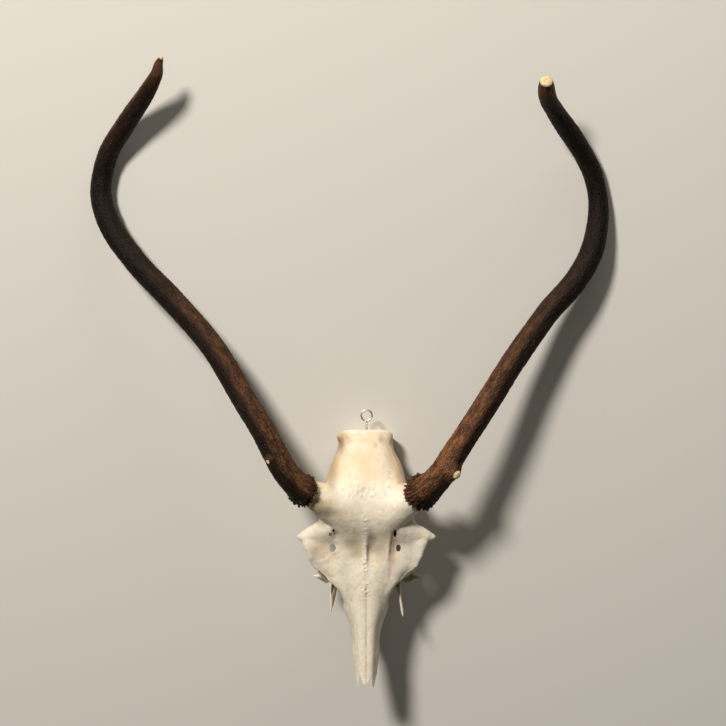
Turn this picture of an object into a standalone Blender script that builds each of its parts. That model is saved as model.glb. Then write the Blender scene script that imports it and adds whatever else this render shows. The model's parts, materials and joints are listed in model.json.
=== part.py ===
"""A pair of red deer antlers on their sawn skull, laid down with the face up.

The skull is one piece of bleached bone, sawn flat through the eye sockets. Each antler is one
piece, which meets its pedicle at the burr. A steel screw eye in the nuchal crest is what the
skull hangs by. Laid down, it leans back on the outer bends of both antlers and on the rear edge
of the sawn base, with the nose in the air.

Run it in Blender's text editor, or with blender --background --python part.py.
"""

import math

import bmesh
import bpy
import numpy as np
from mathutils import Matrix, Vector, noise

for old in list(bpy.data.objects):
    bpy.data.objects.remove(old, do_unlink=True)

MM = 0.001

# Sizes below are millimetres in the skull's own frame: x to the right as the face is seen, y from
# the tips of the nasal bones to the back of the head, z up from the sawn base to the roof.

# How the skull lies: it tips back about its rear edge until the antlers touch the ground
LEAN_DEG = 17.37

# Bone
ROOF_THICKNESS = 4.6
NOSE_THICKNESS = 3.2
NOSE_THIN_TO = 110.0
PLATE_THICKNESS = 3.8
SKULL_VOXEL = 1.5
SKULL_TRIANGLES = 4150
SAW_DEPTH = 20.0
SAW_BOX_X, SAW_BOX_Y = (-120.0, 120.0), (-40.0, 340.0)

# Half sections of the roof, from the nose back: y, height on the midline, then x and z of points
# down the side to the foot of the wall
ROOF_SECTIONS = [
    (-5, 22.5, [(3.5, 22.3), (7, 21), (9, 18.5), (10.1, 16), (10.3, 14), (10.3, 12), (10, 10)]),
    (12, 24, [(3.5, 24.3), (7, 23), (9.4, 20.5), (10.9, 17), (11.4, 14), (11.4, 12.5), (11, 11)]),
    (36, 29, [(4, 29.2), (7.5, 28), (10.5, 24.5), (13, 20), (14, 16), (14.2, 13), (14, 10)]),
    (60, 33.5, [(4, 33.7), (8, 32.5), (12, 28), (14.6, 22), (15.8, 16), (16, 11), (15.8, 7)]),
    (75, 37, [(5, 37), (9, 35.5), (13.5, 30), (17, 22), (18.8, 14), (19.3, 8), (19.3, 2)]),
    (90, 40, [(6, 40), (11, 38), (16, 32.5), (20.5, 24), (23.3, 15), (24.3, 7), (24.3, -3)]),
    (105, 43.5, [(7, 43.3), (13, 41), (19, 35.5), (23.5, 26), (25, 16), (25.5, 7), (25.5, -3)]),
    (120, 47, [(8, 46.5), (15, 44.5), (22, 39.5), (27, 30), (29, 18), (29.5, 8), (29.5, -3)]),
    (135, 49.5, [(9, 49), (17, 47.3), (25, 43), (30, 33), (31, 20), (31, 9), (31, -3)]),
    (150, 51, [(9, 50.3), (18, 49.5), (27, 48), (31.5, 38), (31.5, 24), (31, 10), (31, -3)]),
    (165, 54, [(9, 53), (18, 53), (28, 52.5), (32.5, 43), (32, 27), (31, 12), (31, -3)]),
    (180, 60.5, [(9, 59), (19, 59.5), (30, 59), (34.5, 48), (33, 30), (32, 14), (32, -3)]),
    (195, 68.5, [(9, 67.5), (20, 68), (33, 67), (38, 54), (36, 34), (35, 16), (35, -3)]),
    (210, 75.5, [(10, 75.5), (23, 76), (38, 73), (42, 58), (40, 38), (38, 18), (37, -3)]),
    (225, 80, [(11, 79.7), (23, 79), (36, 74), (42.5, 60), (43, 42), (41.5, 20), (40, -3)]),
    (238, 80, [(11, 79.5), (22, 77.5), (33, 71), (41.5, 58), (44.7, 40), (44, 20), (42, -3)]),
    (250, 77.5, [(11, 77), (21, 74.5), (31, 68), (40, 55), (43.5, 40), (43, 20), (41, -3)]),
    (263, 72.5, [(10, 72), (19, 69.5), (28, 63), (35.5, 52), (38.7, 38), (38.7, 20), (37, -3)]),
    (275, 65.5, [(9, 65), (17, 63), (24.5, 57.5), (30, 48), (32.3, 36), (33, 20), (33, -3)]),
    (284, 58.5, [(9, 58), (16, 56.5), (22, 52), (27, 44), (29.2, 34), (31, 20), (32, -3)]),
    (291, 51, [(9, 51), (17, 49.5), (24, 46), (29, 40), (31, 31), (31, 18), (31, -3)]),
    (297, 46, [(9, 46), (17, 45), (23.5, 42.5), (28.5, 37), (30.5, 30), (31, 18), (31, -3)]),
]
ROOF_STEP = 3.0
ROOF_ACROSS = 26

# The low ridge down the middle of the forehead, with a hollow on each side of it
RIDGE_FROM, RIDGE_TO, RIDGE_FADE = 152.0, 194.0, 12.0
RIDGE_HEIGHT, RIDGE_WIDTH = 2.8, 2.2
HOLLOW_Y, HOLLOW_LENGTH = 164.0, 16.0
HOLLOW_X, HOLLOW_WIDTH = 5.5, 4.5
HOLLOW_DEPTH_LEFT, HOLLOW_DEPTH_RIGHT = 0.8, 2.2

# Brow plates over the eye sockets: y, reach to the left and to the right, height of the rim, and
# height of the plate where it leaves the forehead
BROW_ROOT_X, BROW_DISH_X = 25.0, 38.0
BROW_RIM = [
    (106, 24.5, 23.5, 31, 30),
    (114, 31, 29, 30, 31),
    (119, 38.5, 35, 30, 33),
    (124, 44, 40.5, 29, 35),
    (131, 49.5, 47, 28, 37),
    (136, 55, 52.5, 29, 39),
    (141, 61, 58.5, 31, 40),
    (147, 65, 61.5, 34, 41),
    (154, 67, 64.5, 37, 42),
    (161, 69, 66.5, 40, 43),
    (168, 71.5, 69, 41, 44),
    (172, 74, 72, 40, 45),
    (175.5, 81, 82, 37, 46),
    (179.5, 74, 74.5, 39, 47.5),
    (184, 68.5, 68, 43, 50),
    (188.5, 62.5, 59.5, 48, 53),
    (193, 57, 57, 52, 56),
    (200, 54.5, 56, 58, 61),
    (206, 52, 53, 64, 66),
]
BROW_STEP = 1.6
BROW_POINTS = 9
BROW_MIN_DISH_X = 17.0
BROW_ROOT_WIDTH, BROW_ROOT_DROP = 4.0, 2.0
BROW_RIM_INSET, BROW_SAG = 1.0, 1.5

# Holes through the brow plates: x, y, width, length
EYE_HOLES = [(-38.8, 163.0, 7.5, 10.0), (37.4, 163.0, 5.8, 8.9)]
EYE_HOLE_Z = (20.0, 80.0)

# Front walls of the eye sockets: x, then y and z of the upper edge and of the sawn lower edge
CHEEK_WALL = [
    (23, (121, 38), (111, -3)),
    (36, (127, 35), (116, -3)),
    (45, (131, 31), (120, 2)),
    (52, (135, 29), (125, 8)),
    (57, (138, 29), (129, 12)),
]
CHEEK_ROWS = 6
# Splinters of the cheek bone and of the upper jaw: x, y, z, radius
CHEEK_PRONGS = {
    -1: [(44, 122, 12, 4.2), (52, 125.5, 12.5, 3.4), (58, 127, 13.5, 2.2), (63.5, 127.8, 14, 1.0)],
    1: [(44, 122, 12, 4.4), (52, 125, 12.5, 3.8), (59, 126.3, 13.5, 2.4), (66, 127.2, 14, 1.0)],
}
JAW_TINES = {
    -1: [(38, 118, 13, 5.2), (38.8, 110, 10, 4.4), (40, 98, 8, 3.2), (41, 89, 6.5, 2.2),
         (41.2, 80.5, 6, 1.0)],
    1: [(37, 118, 13, 5.0), (39.5, 109, 10, 4.0), (41.6, 98, 8, 3.0), (42.9, 88, 6.5, 2.1),
        (43.8, 77.5, 6, 1.0)],
}

# Back of the head
CREST_LINE = [
    (-30.5, 286, 30, 2.6), (-31.2, 291, 36, 3.0), (-26, 295.5, 41, 3.2), (-15, 297, 43.5, 3.2),
    (0, 296.5, 44.5, 3.2), (15, 297, 43.5, 3.2), (25, 295.5, 41, 3.2), (28, 291, 36.5, 3.0),
    (28, 286, 31, 2.6),
]
BACK_WALL_Y, BACK_WALL_THICKNESS, BACK_WALL_SLOPE_DEG = 286.0, 5.0, 11.0
BACK_TRIM_TOP_Z = 36.0
BACK_WALL_OUTLINE = [(-31, -4), (-30.5, 18), (-28, 33), (-22, 41), (0, 44)]
SPINAL_HOLE_RADIUS, SPINAL_HOLE_Z = 11.0, 3.0
SPINAL_HOLE_Y = (270.0, 310.0)
BRAIN_WALL_Y, BRAIN_WALL_THICKNESS = 203.0, 3.4
BRAIN_HOLLOW_STEP = 6.0
BRAIN_HOLLOW_INSET = 4.2
BRAIN_WALL_OUTLINE = [(-36, -4), (-37, 30), (-38, 52), (-32, 66), (0, 71)]
SEPTUM_THICKNESS = 3.0
SEPTUM_OUTLINE = [(88, -4), (203, -4), (203, 66), (180, 57), (150, 48), (120, 44), (92, 37)]

# The jagged front edge of the nasal bones, from left to right, as x and y
NOSE_EDGE = [
    (-13.5, 9), (-11.7, 4.5), (-9.3, -3), (-6.8, 9.2), (-2.3, 0.7), (-0.7, 3.2),
    (0.9, 0.7), (5.9, 9.2), (8.5, -3), (11.3, 4.5), (13, 9),
]

# Pedicles and burrs: centre of the burr's lower face and the direction that the antler leaves in
LEFT_BURR, LEFT_BURR_AXIS = (-69.5, 231.5, 86.0), (-0.58, 0.26, 0.77)
RIGHT_BURR, RIGHT_BURR_AXIS = (62.0, 229.5, 87.0), (0.44, 0.28, 0.85)
LEFT_BURR_RADIUS, RIGHT_BURR_RADIUS = 18.0, 20.4
BURR_HEIGHT = 8.0
BURR_PEARLS = 30
PEARL_DEPTH = 2.2
BURR_PROFILE = [(0.55, 0.0), (0.86, 0.0), (1.0, 0.22), (1.0, 0.45), (0.90, 0.75), (0.72, 1.0)]
BURR_WANDER = 0.05
BURR_CUT_RADIUS, BURR_CUT_HEIGHT = 30.0, 20.0
PEDICLE_RADIUS = 15.0
PEDICLE_STALK = [(16.0, 206.0, 46.0, 20.0), (29.0, 210.0, 57.0, 19.2), (43.0, 216.5, 69.0, 17.5)]
PEDICLE_BELOW_BURR, PEDICLE_PAST_BURR = 9.0, 5.0
BURR_GAP = 0.3

# Antlers: x, y, z of the middle of the beam and its radius, from the burr to the tip
LEFT_BEAM = [
    (-73, 233.5, 93, 15.5), (-80, 241.5, 100, 15.4), (-90.5, 254, 105, 14.8),
    (-102, 275, 107.5, 14.2), (-116, 301.5, 108.5, 13.6), (-133.5, 329, 108, 13.4),
    (-171, 392, 106, 13.6), (-217, 446, 103, 13.3), (-260.5, 492, 101, 13.3),
    (-292.5, 540.5, 99.5, 12.6), (-299.5, 570, 101.5, 11.8), (-297, 590.5, 106.5, 11.4),
    (-290.5, 610, 115, 11.1), (-266.5, 644, 138, 10.7), (-241, 674.5, 166, 9.3),
    (-233, 685.5, 177, 7.8), (-227, 696.5, 187, 5.8), (-223.5, 703, 193, 3.4),
    (-221.5, 708, 197, 1.0),
]
RIGHT_BEAM = [
    (65.5, 231.5, 93, 15.6), (72.5, 237.5, 99, 15.6), (86, 252.5, 105, 15.0),
    (97.5, 271.5, 107.5, 14.5), (112, 294, 108.5, 13.8), (127.5, 318, 108, 13.5),
    (176.5, 393.5, 104, 13.3), (204, 431.5, 101, 13.1), (240, 474, 98, 13.1),
    (253, 497.5, 97, 12.9), (260, 521, 96, 12.3), (263, 550, 96.5, 11.5),
    (261.5, 567, 99, 11.0), (256, 588.5, 106, 10.9), (245.5, 608, 118, 10.9),
    (233, 625, 132, 11.0), (220, 640, 149, 10.9), (207, 654, 171, 9.9),
    (197, 664.5, 196, 8.8), (194, 674, 213, 7.6), (193, 678.5, 221, 6.2), (192.7, 680, 225, 4.0),
]
BEAM_START = 5.5
BEAM_STEP = 10.5
BEAM_SIDES_RESOLUTION = 4
BEAM_FOOT_TAPER = 0.93
FURROW_DEPTH = 0.55
FURROW_WIDTH, FURROW_LENGTH = 9.0, 26.0

# Stubs of the brow tines: where they leave the beam, and their tips
LEFT_STUB = [(-104, 272, 108, 7.0), (-110.5, 266.5, 112, 4.6), (-113.5, 264.5, 114.5, 2.0)]
RIGHT_STUB = [(96, 262, 108, 9.0), (102, 254.5, 117, 6.6), (104.5, 252, 122, 3.6)]

# Screw eye: a ring of steel wire on a threaded shank
EYE_CENTRE = (0.7, 316.2, 40.0)
EYE_RING_RADIUS = 6.3
EYE_WIRE_RADIUS = 1.0
EYE_SHANK_END_Y = 284.0
EYE_POINT_RADIUS = 0.35
EYE_PLAIN_SHANK = 2.4
EYE_RING_START_DEG, EYE_RING_TURN_DEG = -84.0, 332.0
EYE_RING_STEPS = 22
THREAD_RADIUS = 1.35
THREAD_PITCH = 2.2
SCREW_HOLE_RADIUS = 1.7

BONE = ("bone", (0.80, 0.72, 0.58), 0.55, 0.0)
ANTLER = ("antler", (0.060, 0.024, 0.012), 0.45, 0.0)
STEEL = ("steel", (0.62, 0.62, 0.60), 0.28, 1.0)


def new_collection(name):
    collection = bpy.data.collections.new(name)
    bpy.context.scene.collection.children.link(collection)
    return collection


antlers_and_skull = new_collection("red_deer_antlers")
cutters = new_collection("cutters")


def new_material(spec):
    name, colour, roughness, metallic = spec
    material = bpy.data.materials.new(name)
    material.use_nodes = True
    shader = material.node_tree.nodes["Principled BSDF"]
    shader.inputs["Base Color"].default_value = (*colour, 1.0)
    shader.inputs["Roughness"].default_value = roughness
    shader.inputs["Metallic"].default_value = metallic
    material.diffuse_color = (*colour, 1.0)
    return material


def spline(knots, values, at):
    """Read a smooth curve through values, which stand at the given knots."""
    knots = np.asarray(knots, float)
    values = np.asarray(values, float)
    at = np.asarray(at, float)
    slopes = np.gradient(values, knots, axis=0)
    first = np.clip(np.searchsorted(knots, at, side="right") - 1, 0, len(knots) - 2)
    shape = (-1,) + (1,) * (values.ndim - 1)
    step = (knots[first + 1] - knots[first]).reshape(shape)
    u = (at - knots[first]).reshape(shape) / step
    start = (1 + 2 * u) * (1 - u) ** 2 * values[first] + u * (1 - u) ** 2 * step * slopes[first]
    end = u * u * (3 - 2 * u) * values[first + 1] + u * u * (u - 1) * step * slopes[first + 1]
    return start + end


def line_through(points, count):
    """Evenly spaced points on a smooth line through the given ones."""
    points = np.asarray(points, float)
    lengths = np.linalg.norm(np.diff(points[:, :3], axis=0), axis=1)
    knots = np.concatenate([[0.0], np.cumsum(lengths)])
    return spline(knots, points, np.linspace(0.0, knots[-1], count))


def window(value, low, high, soft):
    """One between low and high, falling to nothing over a soft distance outside them."""
    rise = np.clip((value - low) / soft + 1.0, 0.0, 1.0)
    fall = np.clip((high - value) / soft + 1.0, 0.0, 1.0)
    return rise * rise * (3 - 2 * rise) * fall * fall * (3 - 2 * fall)


def sheet_object(name, rows):
    """An open surface through rows of points, in millimetres."""
    rows = np.asarray(rows, float)
    count, across = rows.shape[:2]
    verts = [Vector(point) * MM for point in rows.reshape(-1, 3)]
    faces = []
    for i in range(count - 1):
        for j in range(across - 1):
            a = i * across + j
            faces.append((a, a + 1, a + across + 1, a + across))
    mesh = bpy.data.meshes.new(name)
    mesh.from_pydata(verts, [], faces)
    obj = bpy.data.objects.new(name, mesh)
    antlers_and_skull.objects.link(obj)
    return obj


def take_mesh(obj):
    """The evaluated mesh of an object, with its caps welded, after which the object goes."""
    bpy.context.view_layer.update()
    evaluated = obj.evaluated_get(bpy.context.evaluated_depsgraph_get())
    mesh = bpy.data.meshes.new_from_object(evaluated)
    mesh.transform(obj.matrix_world)
    bpy.data.objects.remove(obj, do_unlink=True)
    bm = bmesh.new()
    bm.from_mesh(mesh)
    bmesh.ops.remove_doubles(bm, verts=bm.verts, dist=0.01 * MM)
    bmesh.ops.recalc_face_normals(bm, faces=bm.faces)
    bm.to_mesh(mesh)
    bm.free()
    return mesh


def tube(name, points, spacing, resolution=3):
    """A tube of changing radius along a smooth line, in millimetres."""
    points = np.asarray(points, float)
    length = np.linalg.norm(np.diff(points[:, :3], axis=0), axis=1).sum()
    route = line_through(points, max(3, round(length / spacing) + 1))
    curve = bpy.data.curves.new(name, "CURVE")
    curve.dimensions = "3D"
    curve.bevel_depth = MM
    curve.bevel_resolution = resolution
    curve.use_fill_caps = True
    spun = curve.splines.new("POLY")
    spun.points.add(len(route) - 1)
    for point, (x, y, z, radius) in zip(spun.points, route):
        point.co = (x * MM, y * MM, z * MM, 1.0)
        point.radius = max(radius, 0.2)
    obj = bpy.data.objects.new(name, curve)
    antlers_and_skull.objects.link(obj)
    return obj


def slab(name, outline, thickness, collection):
    """A flat piece cut to an outline, lying in its own XY plane, in millimetres."""
    curve = bpy.data.curves.new(name, "CURVE")
    curve.dimensions = "2D"
    curve.fill_mode = "BOTH"
    curve.extrude = thickness / 2 * MM
    edge = curve.splines.new("POLY")
    edge.points.add(len(outline) - 1)
    for point, (x, y) in zip(edge.points, outline):
        point.co = (x * MM, y * MM, 0.0, 1.0)
    edge.use_cyclic_u = True
    obj = bpy.data.objects.new(name, curve)
    collection.objects.link(obj)
    return obj


def mirrored(outline):
    """An outline whose last point is on the midline, with its right half added."""
    return outline + [(-x, z) for x, z in reversed(outline[:-1])]


def on_side(points, side):
    """Points of the right half, or the same ones mirrored for the left."""
    return [(side * x, *rest) for x, *rest in points]


def forehead_relief(x, y):
    """How far the middle ridge and the hollows beside it lift or lower the roof."""
    along = window(y, RIDGE_FROM, RIDGE_TO, RIDGE_FADE)
    ridge = RIDGE_HEIGHT * np.exp(-((x / RIDGE_WIDTH) ** 2)) * along
    depth = np.where(x > 0, HOLLOW_DEPTH_RIGHT, HOLLOW_DEPTH_LEFT)
    hollow = depth * np.exp(-(((np.abs(x) - HOLLOW_X) / HOLLOW_WIDTH) ** 2))
    return ridge - hollow * np.exp(-(((y - HOLLOW_Y) / HOLLOW_LENGTH) ** 2))


def roof_halves(y):
    """The right half of the roof's outline at each y, from the midline down to the wall's foot."""
    stations = [section[0] for section in ROOF_SECTIONS]
    halves = [line_through([(0.0, middle)] + side, ROOF_ACROSS) for _, middle, side in ROOF_SECTIONS]
    return spline(stations, halves, y)


def skull_roof():
    """The vault of the skull and the nose: one open sheet, thickened inwards."""
    y = np.arange(ROOF_SECTIONS[0][0], ROOF_SECTIONS[-1][0] + 0.1, ROOF_STEP)
    half = roof_halves(y)
    right = np.dstack([half[:, :, 0], np.repeat(y[:, None], ROOF_ACROSS, 1), half[:, :, 1]])
    left = right[:, :0:-1].copy()
    left[:, :, 0] *= -1
    rows = np.concatenate([left, right], axis=1)
    rows[:, :, 2] += forehead_relief(rows[:, :, 0], rows[:, :, 1])
    roof = sheet_object("roof", rows)
    thickness = roof.vertex_groups.new(name="thickness")
    for vertex in roof.data.vertices:
        share = np.clip(vertex.co.y / MM / NOSE_THIN_TO, 0.0, 1.0)
        bone = NOSE_THICKNESS + (ROOF_THICKNESS - NOSE_THICKNESS) * share
        thickness.add([vertex.index], bone / ROOF_THICKNESS, "REPLACE")
    solid = roof.modifiers.new("thickness", "SOLIDIFY")
    solid.thickness = ROOF_THICKNESS * MM
    solid.offset = -1.0
    solid.vertex_group = "thickness"
    return take_mesh(roof)


def brain_hollow():
    """The inside of the braincase, which keeps the feet of the pedicles out of it."""
    y = np.arange(BRAIN_WALL_Y, BACK_WALL_Y, BRAIN_HOLLOW_STEP)
    outer = roof_halves(y)
    half_width = outer[:, :, 0].max(axis=1)[:, None]
    height = outer[:, :, 1].max(axis=1)[:, None]
    x = outer[:, :, 0] * (1 - BRAIN_HOLLOW_INSET / half_width)
    z = outer[:, :, 1] * (1 - BRAIN_HOLLOW_INSET / height)
    z[:, -1] = -SAW_DEPTH
    bm = bmesh.new()
    loops = []
    for station, xs, zs in zip(y, x, z):
        side = list(zip(xs, zs))
        ring = side[:0:-1] + [(-px, pz) for px, pz in side]
        loops.append([bm.verts.new(Vector((px, station, pz)) * MM) for px, pz in ring])
    for near, far in zip(loops, loops[1:]):
        for a in range(len(near)):
            b = (a + 1) % len(near)
            bm.faces.new((near[a], near[b], far[b], far[a]))
    bm.faces.new(loops[0])
    bm.faces.new(loops[-1])
    bmesh.ops.recalc_face_normals(bm, faces=bm.faces)
    mesh = bpy.data.meshes.new("brain_hollow")
    bm.to_mesh(mesh)
    bm.free()
    return as_cutter("brain_hollow", mesh)


def brow_plate(side):
    """The plate over one eye socket, which ends in a spur behind it."""
    rim = np.array(BROW_RIM, float)
    y = np.arange(rim[0, 0], rim[-1, 0] + 0.1, BROW_STEP)
    left, right, rim_z, dish_z = spline(rim[:, 0], rim[:, 1:], y).T
    reach = right if side > 0 else left
    dish_x = np.minimum(BROW_DISH_X, (BROW_ROOT_X + reach) / 2 - BROW_RIM_INSET)
    dish_x = np.maximum(dish_x, BROW_MIN_DISH_X)
    root_x = np.minimum(BROW_ROOT_X, dish_x - BROW_ROOT_WIDTH)
    rows = []
    for i, station in enumerate(y):
        row = [
            (root_x[i], dish_z[i] - BROW_ROOT_DROP),
            (dish_x[i], dish_z[i]),
            ((dish_x[i] + 2 * reach[i]) / 3, (dish_z[i] + 2 * rim_z[i]) / 3 - BROW_SAG),
            (reach[i] - BROW_RIM_INSET, rim_z[i]),
        ]
        rows.append([(side * x, station, z) for x, z in line_through(row, BROW_POINTS)])
    plate = sheet_object("brow", rows)
    solid = plate.modifiers.new("thickness", "SOLIDIFY")
    solid.thickness = PLATE_THICKNESS * MM
    solid.offset = side
    return take_mesh(plate)


def cheek_wall(side):
    """The front wall of one eye socket, down to the saw cut."""
    rows = []
    for x, upper, lower in CHEEK_WALL:
        down = np.linspace(upper, lower, CHEEK_ROWS)
        rows.append([(side * x, y, z) for y, z in down])
    wall = sheet_object("cheek", rows)
    solid = wall.modifiers.new("thickness", "SOLIDIFY")
    solid.thickness = PLATE_THICKNESS * MM
    solid.offset = 0.0
    return take_mesh(wall)


def pedicle(side, burr, axis):
    """The bony stalk of one antler, left a little long for the cut at the burr."""
    axis = Vector(axis).normalized()
    centre = Vector(burr)
    below = centre - axis * PEDICLE_BELOW_BURR
    above = centre + axis * PEDICLE_PAST_BURR
    points = on_side(PEDICLE_STALK, side) + [
        (*below, PEDICLE_RADIUS),
        (*centre, PEDICLE_RADIUS),
        (*above, PEDICLE_RADIUS),
    ]
    stalk = joined("pedicle", [take_mesh(tube("pedicle", points, 5.0, 5))], None)
    cut(stalk, brain_hollow())
    return take_mesh(stalk)


def upright_slab(name, outline, thickness, y, slope_deg=0.0):
    """A slab that stands across the skull at the given y."""
    obj = slab(name, mirrored(outline), thickness, antlers_and_skull)
    obj.location = (0.0, y * MM, 0.0)
    obj.rotation_euler = (math.radians(90.0 - slope_deg), 0.0, 0.0)
    return take_mesh(obj)


def lengthwise_slab(name, outline, thickness, collection):
    """A slab that stands along the skull's middle plane, from an outline in y and z."""
    obj = slab(name, outline, thickness, collection)
    obj.matrix_world = Matrix(((0, 0, 1, 0), (1, 0, 0, 0), (0, 1, 0, 0), (0, 0, 0, 1)))
    return obj


def septum():
    """The thin bone that parts the nasal passages, seen from below."""
    return take_mesh(lengthwise_slab("septum", SEPTUM_OUTLINE, SEPTUM_THICKNESS, antlers_and_skull))


def joined(name, meshes, material):
    """One object that holds several meshes."""
    bm = bmesh.new()
    for mesh in meshes:
        bm.from_mesh(mesh)
        bpy.data.meshes.remove(mesh)
    mesh = bpy.data.meshes.new(name)
    bm.to_mesh(mesh)
    bm.free()
    if material:
        mesh.materials.append(material)
    obj = bpy.data.objects.new(name, mesh)
    antlers_and_skull.objects.link(obj)
    return obj


def cut(obj, cutter, operation="DIFFERENCE"):
    """Cut one shape out of an object."""
    boolean = obj.modifiers.new(cutter.name, "BOOLEAN")
    boolean.operation = operation
    boolean.solver = "EXACT"
    boolean.object = cutter


def unite(obj, other):
    """Grow another shape onto an object."""
    cut(obj, other, "UNION")


def as_cutter(name, mesh):
    """A guide shape, which stays out of sight."""
    obj = bpy.data.objects.new(name, mesh)
    obj.hide_render = True
    obj.display_type = "WIRE"
    cutters.objects.link(obj)
    return obj


def round_cutter(name, start, end, radius, sides=16):
    """A cylinder between two points, in millimetres."""
    start, end = Vector(start) * MM, Vector(end) * MM
    along = end - start
    bm = bmesh.new()
    bmesh.ops.create_cone(bm, cap_ends=True, segments=sides, radius1=radius * MM,
                          radius2=radius * MM, depth=along.length)
    turn = along.to_track_quat("Z", "Y").to_matrix().to_4x4()
    bm.transform(Matrix.Translation((start + end) / 2) @ turn)
    mesh = bpy.data.meshes.new(name)
    bm.to_mesh(mesh)
    bm.free()
    return as_cutter(name, mesh)


def box_cutter(name, low, high):
    bm = bmesh.new()
    bmesh.ops.create_cube(bm, size=1.0)
    low, high = Vector(low) * MM, Vector(high) * MM
    size = high - low
    bm.transform(Matrix.Translation((low + high) / 2) @ Matrix.Diagonal((*size, 1.0)))
    mesh = bpy.data.meshes.new(name)
    bm.to_mesh(mesh)
    bm.free()
    return as_cutter(name, mesh)


def nose_cutter():
    """Takes away what lies in front of the jagged edge of the nasal bones."""
    outline = NOSE_EDGE + [(30, 9), (30, -20), (-30, -20), (-30, 9)]
    obj = slab("nose_edge", outline, 80.0, cutters)
    obj.location = (0.0, 0.0, 30.0 * MM)
    mesh = take_mesh(obj)
    return as_cutter("nose_edge", mesh)


def back_cutter():
    """Trims the walls off flush with the back of the head, below the nuchal crest."""
    slope = math.tan(math.radians(BACK_WALL_SLOPE_DEG))
    rear_y = BACK_WALL_Y + BACK_WALL_THICKNESS / 2 + 0.3
    outline = [
        (rear_y - slope * SAW_DEPTH, -SAW_DEPTH),
        (rear_y + slope * BACK_TRIM_TOP_Z, BACK_TRIM_TOP_Z),
        (rear_y + 30.0, BACK_TRIM_TOP_Z + 1.0),
        (rear_y + 30.0, -SAW_DEPTH),
    ]
    return as_cutter("back_trim", take_mesh(lengthwise_slab("back_trim", outline, 160.0, cutters)))


def make_skull():
    bones = [skull_roof()]
    for side in (-1, 1):
        bones.append(brow_plate(side))
        bones.append(cheek_wall(side))
        bones.append(take_mesh(tube("prong", on_side(CHEEK_PRONGS[side], side), 2.0)))
        bones.append(take_mesh(tube("tine", on_side(JAW_TINES[side], side), 2.5)))
    bones.append(pedicle(-1, LEFT_BURR, LEFT_BURR_AXIS))
    bones.append(pedicle(1, RIGHT_BURR, RIGHT_BURR_AXIS))
    bones.append(take_mesh(tube("crest", CREST_LINE, 3.0)))
    bones.append(upright_slab("back_wall", BACK_WALL_OUTLINE, BACK_WALL_THICKNESS,
                              BACK_WALL_Y, BACK_WALL_SLOPE_DEG))
    bones.append(upright_slab("brain_wall", BRAIN_WALL_OUTLINE, BRAIN_WALL_THICKNESS,
                              BRAIN_WALL_Y))
    bones.append(septum())
    skull = joined("skull", bones, new_material(BONE))

    grown = skull.modifiers.new("grown_together", "REMESH")
    grown.mode = "VOXEL"
    grown.voxel_size = SKULL_VOXEL * MM
    softened = skull.modifiers.new("softened", "SMOOTH")
    softened.factor = 0.5
    softened.iterations = 9
    return skull


def finish_skull(skull):
    """Thin out the faces, then make the saw cuts and holes."""
    material = skull.data.materials[0]
    skull = joined("skull", [take_mesh(skull)], material)
    fewer = skull.modifiers.new("fewer_faces", "DECIMATE")
    fewer.ratio = SKULL_TRIANGLES / (2 * len(skull.data.polygons))

    saw_low = (SAW_BOX_X[0], SAW_BOX_Y[0], -SAW_DEPTH)
    saw_high = (SAW_BOX_X[1], SAW_BOX_Y[1], 0.0)
    cut(skull, box_cutter("saw_cut", saw_low, saw_high))
    cut(skull, nose_cutter())
    cut(skull, back_cutter())
    for number, (x, y, wide, long) in enumerate(EYE_HOLES, 1):
        foot, head = ((x, y, z) for z in EYE_HOLE_Z)
        hole = round_cutter(f"brow_hole_{number}", foot, head, 0.5, 14)
        for vertex in hole.data.vertices:
            vertex.co.x = x * MM + (vertex.co.x - x * MM) * wide
            vertex.co.y = y * MM + (vertex.co.y - y * MM) * long
        cut(skull, hole)
    near, far = ((0.0, y, SPINAL_HOLE_Z) for y in SPINAL_HOLE_Y)
    cut(skull, round_cutter("spinal_hole", near, far, SPINAL_HOLE_RADIUS, 20))
    x, y, z = EYE_CENTRE
    cut(skull, round_cutter("screw_hole", (x, EYE_SHANK_END_Y - 1.0, z), (x, y, z),
                            SCREW_HOLE_RADIUS, 12))
    for name, burr, axis in (("left_burr_face", LEFT_BURR, LEFT_BURR_AXIS),
                             ("right_burr_face", RIGHT_BURR, RIGHT_BURR_AXIS)):
        axis = Vector(axis).normalized()
        burr = Vector(burr)
        cut(skull, round_cutter(name, burr, burr + axis * BURR_CUT_HEIGHT, BURR_CUT_RADIUS, 24))
    return skull


def burr_ring(centre, axis, radius):
    """The ragged collar of pearls at the foot of an antler."""
    around = BURR_PEARLS * 2
    inner = BURR_PROFILE[0][0]
    bm = bmesh.new()
    rings = []
    for reach, height in BURR_PROFILE:
        ring = []
        for step in range(around):
            angle = 2 * math.pi * step / around
            out = Vector((math.cos(angle), math.sin(angle), 0.0))
            size = 1.0 + 0.9 * noise.noise(Vector((1.7 * step, radius, 0.3)))
            knob = PEARL_DEPTH * size * (reach - inner) / (1.0 - inner) * (0.5 if step % 2 else -0.5)
            wander = 1.0 + BURR_WANDER * noise.noise(Vector((out.x * 3, out.y * 3, radius)))
            spot = out * (radius * reach * wander + knob)
            spot.z = height * BURR_HEIGHT
            ring.append(bm.verts.new(spot * MM))
        rings.append(ring)
    for low, high in zip(rings, rings[1:]):
        for a in range(around):
            b = (a + 1) % around
            bm.faces.new((low[a], low[b], high[b], high[a]))
    bm.faces.new(list(reversed(rings[0])))
    bm.faces.new(rings[-1])
    turn = Vector(axis).to_track_quat("Z", "Y").to_matrix().to_4x4()
    bm.transform(Matrix.Translation(Vector(centre) * MM) @ turn)
    mesh = bpy.data.meshes.new("burr")
    bm.to_mesh(mesh)
    bm.free()
    return mesh


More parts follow.
